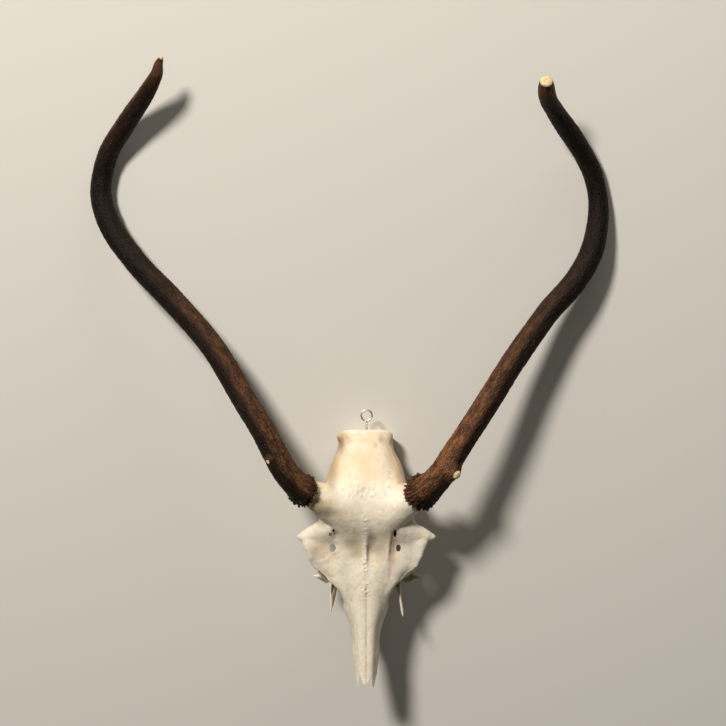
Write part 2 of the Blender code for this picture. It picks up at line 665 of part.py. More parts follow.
def add_furrows(mesh):
    """Push the skin of an antler in and out a little, in long uneven furrows."""
    for vertex in mesh.vertices:
        place = vertex.co / MM
        spot = (place.x / FURROW_WIDTH, place.y / FURROW_LENGTH, place.z / FURROW_WIDTH)
        grain = noise.noise(Vector(spot))
        vertex.co += vertex.normal * grain * FURROW_DEPTH * MM


def make_antler(name, burr, axis, radius, beam, stub, material):
    axis = Vector(axis).normalized()
    foot = Vector(burr) + axis * BURR_GAP
    start = [(*(foot + axis * BEAM_START), beam[0][3] * BEAM_FOOT_TAPER)]
    beam_mesh = take_mesh(tube("beam", start + beam, BEAM_STEP, BEAM_SIDES_RESOLUTION))
    add_furrows(beam_mesh)
    antler = joined(name, [beam_mesh], material)
    for label, mesh in (("burr", burr_ring(foot, axis, radius)),
                        ("stub", take_mesh(tube("stub", stub, 3.0, 2)))):
        unite(antler, as_cutter(f"{name}_{label}", mesh))
    return antler


def make_screw_eye():
    """The steel eye: a threaded shank, then the wire bent round into a ring."""
    x, y, z = EYE_CENTRE
    ring_foot = y - EYE_RING_RADIUS
    route = [(x, EYE_SHANK_END_Y, z, EYE_POINT_RADIUS)]
    threads = int((ring_foot - EYE_PLAIN_SHANK - EYE_SHANK_END_Y) / THREAD_PITCH)
    for turn in range(threads):
        start = EYE_SHANK_END_Y + (turn + 0.4) * THREAD_PITCH
        route.append((x, start, z, EYE_WIRE_RADIUS))
        route.append((x, start + THREAD_PITCH / 2, z, THREAD_RADIUS))
    route.append((x, ring_foot - EYE_PLAIN_SHANK, z, EYE_WIRE_RADIUS))
    for step in range(EYE_RING_STEPS + 1):
        angle = math.radians(EYE_RING_START_DEG + EYE_RING_TURN_DEG * step / EYE_RING_STEPS)
        route.append((x + EYE_RING_RADIUS * math.cos(angle), y + EYE_RING_RADIUS * math.sin(angle),
                      z, EYE_WIRE_RADIUS))
    curve = bpy.data.curves.new("screw_eye", "CURVE")
    curve.dimensions = "3D"
    curve.bevel_depth = MM
    curve.bevel_resolution = 2
    curve.use_fill_caps = True
    wire = curve.splines.new("POLY")
    wire.points.add(len(route) - 1)
    for point, (px, py, pz, radius) in zip(wire.points, route):
        point.co = (px * MM, py * MM, pz * MM, 1.0)
        point.radius = radius
    obj = bpy.data.objects.new("screw_eye_wire", curve)
    antlers_and_skull.objects.link(obj)
    return joined("screw_eye", [take_mesh(obj)], new_material(STEEL))


def lay_down(pieces):
    """Tip everything back onto the antlers and put the middle of its footprint at the origin."""
    tilt = Matrix.Rotation(math.radians(-LEAN_DEG), 4, "X")
    holder = bpy.data.objects.new("laid_down", None)
    antlers_and_skull.objects.link(holder)
    holder.matrix_world = tilt
    for piece in pieces:
        piece.parent = holder
    for cutter in cutters.objects:
        cutter.parent = holder
    bpy.context.view_layer.update()
    graph = bpy.context.evaluated_depsgraph_get()
    corners = []
    for piece in pieces:
        mesh = piece.evaluated_get(graph).to_mesh()
        corners.extend(piece.matrix_world @ vertex.co for vertex in mesh.vertices)
    corners = np.array(corners)
    low, high = corners.min(axis=0), corners.max(axis=0)
    shift = Vector((-(low[0] + high[0]) / 2, -(low[1] + high[1]) / 2, -low[2]))
    holder.matrix_world = Matrix.Translation(shift) @ tilt


skull = finish_skull(make_skull())
antler_skin = new_material(ANTLER)
left_antler = make_antler("left_antler", LEFT_BURR, LEFT_BURR_AXIS, LEFT_BURR_RADIUS,
                          LEFT_BEAM, LEFT_STUB, antler_skin)
right_antler = make_antler("right_antler", RIGHT_BURR, RIGHT_BURR_AXIS, RIGHT_BURR_RADIUS,
                           RIGHT_BEAM, RIGHT_STUB, antler_skin)
screw_eye = make_screw_eye()
lay_down([skull, left_antler, right_antler, screw_eye])
for piece in (skull, left_antler, right_antler, screw_eye):
    piece.data.shade_smooth()
bpy.context.view_layer.update()
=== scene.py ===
import json
import math

import bmesh
import bpy
import numpy as np
from mathutils import Matrix, Vector, noise
from mathutils.bvhtree import BVHTree

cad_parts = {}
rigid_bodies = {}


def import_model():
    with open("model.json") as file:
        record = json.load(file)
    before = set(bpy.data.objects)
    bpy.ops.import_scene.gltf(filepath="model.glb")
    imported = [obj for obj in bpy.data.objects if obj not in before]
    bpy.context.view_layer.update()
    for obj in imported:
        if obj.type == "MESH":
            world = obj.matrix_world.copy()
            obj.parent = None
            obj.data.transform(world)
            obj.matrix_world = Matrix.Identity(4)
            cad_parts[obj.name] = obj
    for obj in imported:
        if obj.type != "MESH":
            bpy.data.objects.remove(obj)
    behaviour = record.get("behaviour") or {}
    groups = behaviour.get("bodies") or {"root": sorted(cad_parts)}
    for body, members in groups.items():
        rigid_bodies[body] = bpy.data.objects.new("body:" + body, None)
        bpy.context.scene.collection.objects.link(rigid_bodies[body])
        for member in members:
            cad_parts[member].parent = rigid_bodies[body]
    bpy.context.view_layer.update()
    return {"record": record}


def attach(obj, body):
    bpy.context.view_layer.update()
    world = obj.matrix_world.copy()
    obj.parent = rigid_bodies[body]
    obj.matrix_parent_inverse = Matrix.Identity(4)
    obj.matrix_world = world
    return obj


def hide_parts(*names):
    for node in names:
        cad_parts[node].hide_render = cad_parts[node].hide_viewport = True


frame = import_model()

# The head as it lies
# A pair of red deer antlers on their sawn skull, laid down with the face up. Everything is shaped
# in millimetres on the head's own axes, x to the right, y from the nose to the back of the head
# and z up from the sawn base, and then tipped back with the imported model.
MM = 0.001
RIM_SPOT = (22.0, 286.0, 0.0)

rim = next(mount for mount in frame["record"]["mounts"] if mount["name"] == "sawn_base_rim")
up = -Vector(rim["axis"])
head = Matrix.Rotation(-math.atan2(up.y, up.z), 4, "X")
head.translation = Vector(rim["pos_m"]) - head.to_3x3() @ Vector(RIM_SPOT) * MM


# Skull
# One piece of bleached bone: the frontal bones with the two pedicles, the braincase, the nasal
# bones and the plates over the eye sockets. It was boiled clean and sawn off flat underneath.
ROOF_THICKNESS, NOSE_THICKNESS, NOSE_THIN_TO = 4.6, 3.2, 110.0
PLATE_THICKNESS = 3.6
SKULL_VOXEL = 1.05
SKULL_TRIANGLES = 186000
SMOOTHING_ROUNDS, SMOOTHING_SHARE = 5, 0.6
ROD_STEP, STALK_STEP, STALK_AROUND = 1.5, 3.0, 32

# Half sections of the roof, from the nose back: y, height on the midline, then x and z of points
# down the side to the foot of the wall
ROOF_SECTIONS = [
    (-5, 22.5, [(3.5, 22.4), (6.0, 21.6), (7.9, 18.9), (9.6, 15.9), (11.0, 13), (11.8, 11), (12.0, 9.5)]),
    (12, 24, [(3.5, 24.3), (6.2, 23.6), (8.4, 20.6), (10.4, 17), (12.1, 13.6), (13.0, 11.4), (13.2, 10)]),
    (36, 29, [(4, 29.3), (7.0, 28.6), (9.6, 25.4), (12.1, 21), (14.3, 16.4), (15.4, 12.6), (15.7, 10)]),
    (60, 33.5, [(4.3, 33.8), (7.6, 33.0), (10.9, 29), (13.6, 23.6), (15.7, 17.5), (16.8, 11.5), (17, 7)]),
    (75, 37, [(5, 37), (8.8, 35.8), (13.1, 31), (16.9, 23.5), (19.6, 15), (20.7, 8), (20.7, 2)]),
    (90, 40, [(6, 40), (11.2, 38), (16.8, 32.5), (22.0, 24), (25.3, 15), (26.4, 7), (26.4, -3)]),
    (105, 43.5, [(7, 43.3), (13, 41), (19, 35.5), (23.5, 26), (25, 16), (25.4, 7), (25.4, -3)]),
    (120, 47, [(8, 46.5), (15, 44.5), (22, 39.5), (27, 30), (29, 18), (29.5, 8), (29.5, -3)]),
    (135, 49.5, [(9, 49), (17, 47.3), (25, 43), (30, 33), (31, 20), (31, 9), (31, -3)]),
    (150, 51, [(9, 50.3), (18, 49.5), (27, 48), (31.5, 38), (31.5, 24), (31, 10), (31, -3)]),
    (165, 54, [(9, 53), (18, 53), (28, 52.5), (32.5, 43), (32, 27), (31, 12), (31, -3)]),
    (180, 61.5, [(9, 60.3), (19, 60.5), (30, 59), (34.5, 48), (33, 30), (32, 14), (32, -3)]),
    (195, 71.3, [(9, 70.6), (20, 70.8), (33, 68), (38, 54), (36, 34), (35, 16), (35, -3)]),
    (210, 77.6, [(10, 77.6), (23, 77.6), (38, 73.5), (42, 58), (40, 38), (38, 18), (37, -3)]),
    (225, 80.2, [(11, 80.0), (23, 79.2), (36, 74), (42.5, 60), (43, 42), (41.5, 20), (40, -3)]),
    (238, 80, [(11, 79.5), (22, 77.5), (33, 71), (41.5, 58), (44.7, 40), (44, 20), (42, -3)]),
    (250, 77.5, [(11, 77), (21, 74.5), (31, 68), (40, 55), (43.5, 40), (43, 20), (41, -3)]),
    (263, 72.5, [(10, 72), (19, 69.5), (28, 63), (35.5, 52), (38.7, 38), (38.7, 20), (37, -3)]),
    (275, 65.5, [(9, 65), (17, 63), (24.5, 57.5), (30, 48), (32.3, 36), (33, 20), (33, -3)]),
    (284, 58.5, [(9, 58), (16, 56.5), (22, 52), (27, 44), (29.2, 34), (31, 20), (32, -3)]),
    (291, 51, [(9, 51), (17, 49.5), (24, 46), (29, 40), (31, 31), (31, 18), (31, -3)]),
    (297, 46, [(9, 46), (17, 45), (23.5, 42.5), (28.5, 37), (30.5, 30), (31, 18), (31, -3)]),
]
ROOF_STEP, ROOF_ACROSS = 1.5, 56

# The low ridge down the middle of the forehead, with a hollow on each side of it
RIDGE_FROM, RIDGE_TO, RIDGE_FADE = 152.0, 202.0, 22.0
RIDGE_HEIGHT, RIDGE_WIDTH = 2.6, 1.6
HOLLOW_Y, HOLLOW_LENGTH = 164.0, 16.0
HOLLOW_X, HOLLOW_WIDTH = 5.5, 4.5
HOLLOW_DEPTH_LEFT, HOLLOW_DEPTH_RIGHT = 0.9, 2.6

# Brow plates over the eye sockets: y, reach to the left and to the right, height of the rim, and
# height of the plate where it leaves the forehead
BROW_ROOT_X, BROW_DISH_X = 25.0, 38.0
BROW_RIM = [
    (97, 21.5, 20.5, 13, 20),
    (102, 23.2, 22.0, 17, 24),
    (106, 24.8, 23.8, 21, 27),
    (114, 31, 29, 26.5, 31),
    (119, 38.5, 35, 28.5, 33),
    (124, 44, 40.5, 29, 35),
    (131, 49.5, 47, 30, 36.5),
    (136, 55, 52.5, 32, 38),
    (141, 62.3, 60, 35, 39),
    (147, 66.7, 63.2, 38.5, 40),
    (154, 69, 66.5, 42, 41),
    (161, 70.5, 68, 44, 42),
    (168, 72.5, 70, 44.5, 43.5),
    (172, 74, 72, 43, 45.5),
    (175.5, 80.2, 81, 40, 48),
    (179.5, 74, 74.5, 42, 50.5),
    (184, 68.5, 68, 45.5, 53.5),
    (188.5, 62.5, 59.5, 49, 56),
    (193, 57, 57, 52, 58),
    (200, 54.5, 56, 58, 62),
    (206, 52, 53, 64, 66),
]
BROW_STEP, BROW_POINTS = 0.8, 26
BROW_MIN_DISH_X, BROW_ROOT_WIDTH, BROW_ROOT_DROP = 17.0, 4.0, 2.0
BROW_RIM_INSET, BROW_SAG = 1.0, 1.5

# Front walls of the eye sockets: x, then y and z of the upper edge and of the sawn lower edge
CHEEK_WALL_POINTS = 24
CHEEK_WALL = [
    (23, (121, 38), (111, -3)),
    (36, (127, 35), (116, -3)),
    (45, (131, 31), (120, 2)),
    (52, (135, 29), (125, 8)),
    (57, (138, 29), (129, 12)),
]
# Splinters of the cheek bone and of the upper jaw: x, y, z, radius
CHEEK_PRONGS = {
    -1: [(44, 122, 12, 4.2), (52, 125.5, 12.5, 3.4), (58, 127, 13.5, 2.2), (63.5, 127.8, 14, 1.0)],
    1: [(44, 122, 12, 4.4), (52, 125, 12.5, 3.8), (59, 126.3, 13.5, 2.4), (66, 127.2, 14, 1.0)],
}
JAW_TINES = {
    -1: [(41.0, 120, 15, 2.4), (41.6, 110, 12, 2.0), (41.8, 98, 9, 1.8), (41.4, 89, 7.5, 1.6),
         (41.0, 80.5, 6.5, 0.8)],
    1: [(39.8, 120, 14, 2.6), (40.0, 109, 11, 2.3), (40.6, 99, 9, 2.4), (42.2, 88, 7, 2.0),
        (43.4, 78.0, 6, 0.8)],
}
# Thin blades of the broken jaw beside the tines: outline in plan, lower and upper face
JAW_BLADES = {
    -1: ([(42, 122), (33, 120), (34, 112), (35.5, 103), (38, 92), (40.5, 84), (42, 92)], 2.5, 7.5),
    1: ([(41, 122), (34, 120), (36, 112), (38, 104), (39.5, 98), (41.5, 104)], 2.5, 7.5),
}

# Back of the head
CREST_LINE = [
    (-30.5, 286, 30, 2.6), (-31.2, 291, 36, 3.0), (-26, 295.5, 41, 3.2), (-15, 297, 43.5, 3.2),
    (0, 296.5, 44.5, 3.2), (15, 297, 43.5, 3.2), (25, 295.5, 41, 3.2), (28, 291, 36.5, 3.0),
    (28, 286, 31, 2.6),
]
BACK_WALL_Y, BACK_WALL_THICKNESS, BACK_WALL_SLOPE = 286.0, 5.0, math.tan(math.radians(11.0))
BACK_TRIM_TOP_Z = 36.0
BACK_WALL_OUTLINE = [(-31, -4), (-30.5, 18), (-28, 33), (-22, 41), (0, 44)]
SPINAL_HOLE_RADIUS, SPINAL_HOLE_Z, SPINAL_HOLE_FROM_Y = 11.0, 3.0, 270.0
BRAIN_WALL_Y, BRAIN_WALL_THICKNESS = 203.0, 3.4
BRAIN_HOLLOW_INSET, BRAIN_HOLLOW_STEP = 4.2, 3.0
BRAIN_WALL_OUTLINE = [(-36, -4), (-37, 30), (-38, 52), (-32, 66), (0, 71)]
SEPTUM_THICKNESS = 3.0
SEPTUM_OUTLINE = [(88, -4), (203, -4), (203, 66), (180, 57), (150, 48), (120, 44), (92, 37)]

# Pedicles: centre of each burr face and the direction that its antler leaves in
BURRS = {
    -1: (Vector((-69.5, 231.5, 86.0)), Vector((-0.58, 0.26, 0.77)).normalized()),
    1: (Vector((62.0, 229.5, 87.0)), Vector((0.44, 0.28, 0.85)).normalized()),
}
PEDICLE_RADIUS, PEDICLE_BELOW_BURR, PEDICLE_PAST_BURR = 15.0, 9.0, 5.0
PEDICLE_STALK = [(16.0, 206.0, 46.0, 20.0), (29.0, 210.0, 57.0, 19.2), (43.0, 216.5, 69.0, 17.5)]

# Filling of the corners beside the roof: reach at the pedicles and at the brow plates, and the share
# that the plates get from the nose back. Next to the nose the fill doesn't push sideways.
PEDICLE_FILLET, PLATE_FILLET = 30.0, 15.0
PLATE_FILL_SHARE = {
    -1: [(82, 0.0), (98, 1.0), (142, 1.0), (162, 0.8)],
    1: [(82, 0.0), (98, 1.0), (142, 1.0), (162, 0.3)],
}
SIDEWAYS_FILL_FROM, SIDEWAYS_FILL_LENGTH = 108.0, 20.0
FILL_SPREAD_ROUNDS, FILL_SOFT_ROUNDS, FILL_SOFT_SHARE, FILL_SOFT_FULL = 6, 30, 0.7, 2.5
# How far under the roof's face the skin still counts as its outside, and a height above all of it
SKIN_BAND, ABOVE_ROOF_Z = 1.8, 84.0

# The jagged front edge of the nasal bones, from left to right, as x and y
NOSE_EDGE = [
    (-15.0, 14.0), (-12.2, 9.0), (-11.0, 1.8), (-9.8, -2.8), (-8.7, -1.2), (-8.6, 5.5), (-8.0, 9.9),
    (-6.8, 11.0), (-5.5, 9.2), (-4.2, 4.8), (-2.7, 0.9), (-1.7, 1.9), (-1.0, 4.1), (-0.3, 2.6),
    (0.9, 0.8), (2.1, 4.0), (3.6, 8.4), (5.0, 10.6), (6.4, 9.5), (7.1, 5.5), (7.5, -0.4),
    (8.4, -2.8), (9.6, -0.4), (10.8, 4.8), (11.8, 10.0), (14.0, 14.0),
]

# Bodies that the saw takes away: the base, what lies before the nose's edge, what stands past the
# back of the head, and what the burrs were sawn from, as outlines and reaches
SAW_DEPTH = 20.0
SAW_AREA = [(-120, -40), (120, -40), (120, 340), (-120, 340)]
NOSE_CUT, NOSE_CUT_Z = [(30, 14), (30, -20), (-30, -20), (-30, 14)], (-5.0, 70.0)
BACK_TRIM_WIDTH, BACK_TRIM_REACH, BACK_TRIM_PLAY = 160.0, 30.0, 0.3
BURR_CUT_RADIUS, BURR_CUT_REACH, ROUND_CUT_POINTS = 30.0, 20.0, 48

# Holes right through the bone, seen from above: x, y, width, length, lower and upper end
BONE_HOLES = [
    (-38.8, 163.0, 7.5, 10.0, 20.0, 80.0),
    (37.4, 163.0, 5.8, 8.9, 20.0, 80.0),
    (33.2, 181.2, 3.6, 9.6, 36.0, 80.0),
    (-37.3, 184.5, 2.6, 4.6, 38.0, 80.0),
    (-41.0, 180.0, 3.4, 4.4, 36.0, 80.0),
]
SCREW_SPOT = (0.7, 316.2, 40.0)
SCREW_HOLE_RADIUS, SCREW_HOLE_END_Y = 1.7, 283.0

# Seams where bones have grown together: route in plan, depth, width, how much they wander, brownness
SEAMS = [
    ([(0.2, 118), (0.0, 92), (0.2, 60), (0.0, 30), (0.2, 0)], 0.50, 0.75, 0.5, 0.75),
    ([(-1.8, 143), (-0.8, 130), (0.2, 118)], 0.22, 0.7, 1.2, 0.5),
    ([(0.2, 118), (-5, 122), (-11, 117), (-16, 107), (-19.5, 95)], 0.28, 0.7, 1.8, 0.45),
    ([(0.2, 118), (5, 122), (11, 117), (16, 107), (19.5, 95)], 0.28, 0.7, 1.8, 0.45),
    ([(-19.5, 95), (-15.5, 70), (-12.8, 40), (-10.8, 8)], 0.30, 0.7, 0.6, 0.35),
    ([(19.5, 95), (14.0, 70), (11.5, 40), (9.5, 8)], 0.30, 0.7, 0.6, 0.35),
    ([(-36, 229), (-24, 224), (-12, 229), (0, 234), (12, 229), (24, 223), (37, 228)],
     0.22, 0.7, 2.6, 0.16),
    ([(-1.5, 194), (-1.0, 212), (0, 234)], 0.12, 0.7, 1.6, 0.10),
    ([(-31, 159), (-37, 155), (-44, 149.5), (-55, 144.3), (-62.5, 145)], 0.20, 0.9, 1.6, 0.38),
    ([(24, 126), (34, 131), (45, 134), (58, 139)], 0.15, 0.7, 1.6, 0.15),
]
SEAM_WRIGGLE, SEAM_PATCH, SEAM_STAIN_SPREAD = 1.9, 7.0, 1.3
SEAM_LEAST, SEAM_VARIES = 0.65, 0.5
# Raised lines: route in plan, height, half width
RIDGES = [
    ([(-23.5, 293), (-26.5, 271.5), (-32.0, 254.4), (-36.0, 240)], 0.35, 2.2),
    ([(25.0, 290), (28.0, 281), (32.5, 268), (38.0, 255), (42.0, 244)], 0.5, 1.4),
    ([(-31, 159), (-37, 155), (-44, 149.5), (-55, 144.3), (-62.5, 145)], 0.5, 3.0),
    ([(-72, 171), (-68, 160), (-64, 147)], 0.9, 4.0),
    ([(74, 171), (66, 160), (61, 147)], 0.7, 3.5),
    ([(27.0, 176), (25.5, 160), (24.0, 148)], 0.4, 1.6),
]
# Grooves that run forward from the small holes in the brow: route in plan, depth, half width
GROOVES = [
    ([(32.0, 184), (30.5, 172), (28.8, 158), (28.6, 146)], 1.2, 1.9),
    ([(28.6, 150), (29.0, 136), (28.0, 122)], 0.3, 1.8),
    ([(-36.0, 182), (-35.0, 172)], 0.8, 2.2),
    ([(51, 188), (47, 181), (46, 172)], 0.2, 2.0),
]
# How far ridges and grooves wander, over what size, and how steeply they start and end
LINE_WANDER, RIDGE_WRIGGLE, GROOVE_WRIGGLE = 1.1, 9.0, 5.0
LINE_START_STEEPNESS, LINE_END_STEEPNESS = 7.0, 5.0
# Which skin is carved: how near to the roof's face, and how much it looks up
CARVED_FROM, CARVED_SOFT, UPPER_FROM, UPPER_SOFT = -2.4, 1.2, 0.05, 0.35
# Small lumps and dents: x, y, radius, height
LUMPS = [
    (-2.2, 146.5, 2.0, 1.2), (0.4, 150.5, 1.6, 0.8), (-3.8, 150.0, 1.6, 0.6), (-1.6, 141.0, 1.8, 0.6),
    (-1.5, 200.0, 5.0, 0.7), (-8.0, 236.0, 6.0, 0.5), (9.0, 241.0, 5.0, 0.4), (-28.0, 289.0, 5.0, 0.9),
    (25.0, 289.0, 5.0, 0.9), (-60.0, 166.0, 6.0, 0.5), (58.0, 170.0, 6.0, 0.5), (8.5, 158.0, 4.0, -0.6),
]
# Patches of colour by kind: x, y, half width, half length, strength
PATCHES = {
    # Tan: a stain on the braincase and nose; the patches under the left pedicle by its burr, in the left
    # plate's dish and beside the forehead's ridge are painted shade
    "tan": [
        (0, 264, 34, 26, 0.85), (2, 288, 28, 11, 0.75), (38, 248, 6, 16, 1), (-52, 214, 16, 6, 0.8),
        (-46, 218, 12, 9, 1), (-48, 158, 13, 11, 0.55), (-12, 168, 9, 16, 0.55),
        (14, 160, 9, 16, 0.55), (19, 174, 8, 10, 0.4), (-54, 214, 12, 8, 0.6),
        (-30, 206, 14, 6, 0.4), (6, 60, 2.4, 34, 0.5),
    ],
    # Umber: a brown stain on the braincase sides; the rest is painted shade, the shadows under the
    # pedicles and burrs, on the ledges below them and in the hollows beside the forehead's ridge
    "umber_and_painted_shade": [
        (-38, 256, 7, 30, 0.55), (-28, 282, 6, 12, 0.35), (43, 240, 4, 16, 0.35),
        (5.5, 168, 3, 12, 0.55), (-57, 211, 13, 5.5, 1), (-49, 207, 18, 7, 1),
        (-66, 222, 7, 7, 0.6), (52, 208, 14, 5, 0.4), (-24, 192, 10, 5, 0.3),
        (-18, 168, 10, 7, 0.45), (-11, 157, 9, 8, 0.58), (3.2, 163, 2.8, 11, 0.85),
        (13.5, 160, 9, 8, 0.5), (6, 176, 5.5, 8, 0.8), (-50, 196, 10, 5, 0.35),
        (-47, 229, 12, 9, 0.22), (-55, 219, 9, 10, 0.95), (-46, 218, 12, 9, 0.5),
    ],
    "stain": [
        (-22.5, 291, 3.6, 2.6, 0.85), (-20.5, 288, 4.5, 3, 0.5), (18, 290, 5, 4.5, 0.85),
        (11, 283, 3.6, 3, 0.6), (24.5, 290, 2, 3, 0.5), (31.5, 177, 2.4, 10, 0.6),
        (30.5, 159, 3.4, 12, 1), (-37, 156.5, 3.6, 2.2, 0.7), (-28.5, 290, 5, 3, 0.9),
        (-29.5, 285, 6, 10, 0.7), (-37, 183, 3.5, 4, 0.6), (38, 248, 4, 10, 0.3),
        (-38.5, 246, 4, 12, 0.5), (-62, 220, 9, 4, 0.45), (35, 172, 3, 10, 0.5),
    ],
    "blush": [
        (-4, 264, 9, 6, 0.85), (2, 255, 10, 9, 0.7), (12, 271, 5, 9, 0.5), (-17, 214, 16, 5, 0.3),
        (-55, 170, 9, 5, 0.3), (-38, 136, 9, 5, 0.3), (66, 176, 8, 4, 0.45), (31, 156, 5, 20, 0.7),
        (31, 268, 7, 14, 0.8), (-34, 262, 7, 14, 0.8), (-10, 272, 4, 4, 0.7), (6, 246, 6, 4, 0.5),
    ],
    "moss": [
        (-25.5, 144, 6, 15, 1), (22, 137, 5, 9, 0.5), (-19, 122, 4, 4, 0.5), (44, 160, 12, 10, 0.2),
    ],
    # Grime: painted shade in a grime colour, under the pedicles, on the ledges below them, in the hollow
    # beside the ridge and down the right side of the nose
    "grime_and_painted_shade": [
        (-58, 216, 8, 5, 0.35), (47, 194, 15, 7, 0.4), (-46, 194, 11, 8, 0.45),
        (-50, 207, 13, 7, 0.75), (-37, 182, 4, 7, 0.55), (6, 165, 3, 12, 0.55),
        (-16, 172, 7, 3, 0.2), (-2, 104, 4, 14, 0.18), (17, 84, 4, 8, 0.22),
        (12.5, 45, 3.2, 45, 0.3),
    ],
    # White: mostly paler bone; the patch low on the right brow plate at (37, 136) is painted light over a
    # part that lies in shade
    "pale_and_painted_light": [
        (37, 136, 12, 9, 0.9), (15.5, 286, 3.5, 10, 0.9), (23, 264, 4, 14, 0.7),
        (38, 226, 14, 9, 0.9), (-28, 222, 14, 8, 0.7), (-1.5, 139.5, 3, 5, 1),
        (-1, 172, 2, 26, 0.9), (4, 222, 30, 12, 0.7), (0, 80, 16, 60, 0.45), (-69, 160, 5, 14, 0.8),
        (52, 152, 16, 18, 0.7), (56, 176, 20, 7, 0.8), (-58, 180, 18, 6, 0.8),
    ],
}
# Painted shade low down inside the broken jaw, under the brow plates: x, y, half width, half length
JAW_SHADE = [(-36, 106, 4, 20), (36, 113, 4, 14), (54, 125, 15, 7), (-49.5, 124, 9, 5)]
JAW_SHADE_TOP_Z, JAW_SHADE_SOFT = 21.0, 3.0
# The sides of the braincase are tan from here outwards: y, x
BRAIN_TOP_EDGE = [(232, 37.0), (250, 31.5), (266, 26.0), (280, 22.0), (292, 20.0)]
BRAIN_TAN, BRAIN_TAN_SOFT, BRAIN_TAN_FROM_Y, BRAIN_TAN_FADE = 0.9, 9.0, 226.0, 14.0
# How much tan is painted on faces that look down, as painted shade under things
UNDERSIDE_PAINTED_SHADE = 0.5
# Painted shade in the hollows, in a grime colour, and paler worn edges: how much for a bend, and the most
# of it
HOLLOW_SHADE, HOLLOW_SHADE_MOST, EDGE_WHITE, EDGE_WHITE_MOST = 4.0, 0.6, 3.0, 0.7
# Faces that count as sawn lie under this height and look down at least so much
SAWN_BELOW_Z, SAWN_LOOKS_DOWN = 0.05, -0.9
# Brown collar on the bone under each burr
COLLAR_RADIUS, COLLAR_DEPTH, COLLAR_STRENGTH = 22.0, 3.5, 0.35
# Unevenness of the bone: height outside, height inside, size of the lumps, seed
UNEVENNESS = [(0.42, 0.0, 15.0, 1.0), (0.16, 0.0, 5.0, 2.0), (0.10, 0.25, 3.0, 4.0)]
# Back of the head, its upright crest and the pit on each side: height, x, half width, lower and
# upper end, softness of the ends
NAPE = [(1.6, 0.0, 3.0, 16.0, 36.0, 6.0), (-1.3, 12.0, 6.0, 20.0, 34.0, 8.0)]
NAPE_FROM_Y, NAPE_SOFT, NAPE_ROUGHNESS, NAPE_LUMP = 280.0, 6.0, 0.5, 4.0
# Colours laid over the bone, one on the other: mark, colour, strength, the noise that breaks it up,
# the range of that noise, and the shares that are left at its two ends
# The umber, grime and tan marks and the dark mark low in the jaw carry painted shade, the white one
# partly painted light
BONE_TINTS = [
    ("tan", (0.67, 0.485, 0.255), 0.90, "cloud", 0.35, 0.62, 0.60, 1.0),
    ("pale_and_painted_light", (0.755, 0.71, 0.63), 1.0, "mottle", 0.38, 0.56, 0.35, 0.85),
    ("umber_and_painted_shade", (0.195, 0.148, 0.083), 0.92, "mottle", 0.30, 0.60, 0.65, 1.0),
    ("stain", (0.30, 0.150, 0.055), 0.75, "mottle", 0.25, 0.60, 0.55, 1.0),
    ("blush", (0.74, 0.49, 0.30), 0.80, "mottle", 0.35, 0.60, 0.35, 1.0),
    ("moss", (0.50, 0.56, 0.47), 0.60, "cloud", 0.30, 0.60, 0.40, 1.0),
    ("grime_and_painted_shade", (0.23, 0.185, 0.135), 0.75, "grain", 0.30, 0.60, 0.60, 1.0),
    ("painted_jaw_shade", (0.120, 0.075, 0.038), 0.88, "mottle", 0.30, 0.60, 0.70, 1.0),
    ("seam", (0.30, 0.185, 0.09), 1.0, "grain", 0.35, 0.60, 0.30, 1.0),
]


def spline(knots, values, at):
    """Read a smooth curve through values, which stand at the given knots."""
    knots, values, at = (np.asarray(given, float) for given in (knots, values, at))
    slopes = np.gradient(values, knots, axis=0)
    first = np.clip(np.searchsorted(knots, at, side="right") - 1, 0, len(knots) - 2)
    shape = (-1,) + (1,) * (values.ndim - 1)
    step = (knots[first + 1] - knots[first]).reshape(shape)
    u = (at - knots[first]).reshape(shape) / step
    start = (1 + 2 * u) * (1 - u) ** 2 * values[first] + u * (1 - u) ** 2 * step * slopes[first]
    end = u * u * (3 - 2 * u) * values[first + 1] + u * u * (u - 1) * step * slopes[first + 1]
    return start + end


def distances_along(points):
    """How far along a line each of its points is."""
    steps = np.linalg.norm(np.diff(points[:, :3], axis=0), axis=1)
    return np.concatenate([[0.0], np.cumsum(steps)])


def line_through(points, count):
    """Evenly spaced points on a smooth line through the given ones."""
    points = np.asarray(points, float)
    knots = distances_along(points)
    return spline(knots, points, np.linspace(0.0, knots[-1], count))


def fade_in(value, start, length):
    """Nothing at the start, then evenly up to one over the length, which may run backwards."""
    return np.clip((value - start) / length, 0.0, 1.0)


def eased(share):
    """A share from nothing to one, made to start and to end softly."""
    return share * share * (3 - 2 * share)


def window(value, low, high, soft):
    """One between low and high, falling to nothing over a soft distance outside them."""
    return eased(fade_in(value, low - soft, soft)) * eased(fade_in(value, high + soft, -soft))


def read_off(table, at):
    """Values at the given places, read off a table of places and values."""
    places, values = zip(*table)
    return np.interp(at, places, values)


def on_side(points, side):
    """Points of the right half, or the same ones mirrored for the left."""
    return [(side * x, *rest) for x, *rest in points]


def mirrored(outline):
    """An outline whose last point is on the midline, with its right half added."""
    return outline + [(-x, z) for x, z in reversed(outline[:-1])]


def rows_of_faces(count, across, closed):
    """Quads between rows of points; closed rows run round."""
    i, j = np.meshgrid(np.arange(count - 1), np.arange(across if closed else across - 1),
                       indexing="ij")
    near, far = i * across, (i + 1) * across
    after = (j + 1) % across
    return np.stack([near + j, near + after, far + after, far + j], axis=-1).reshape(-1, 4)


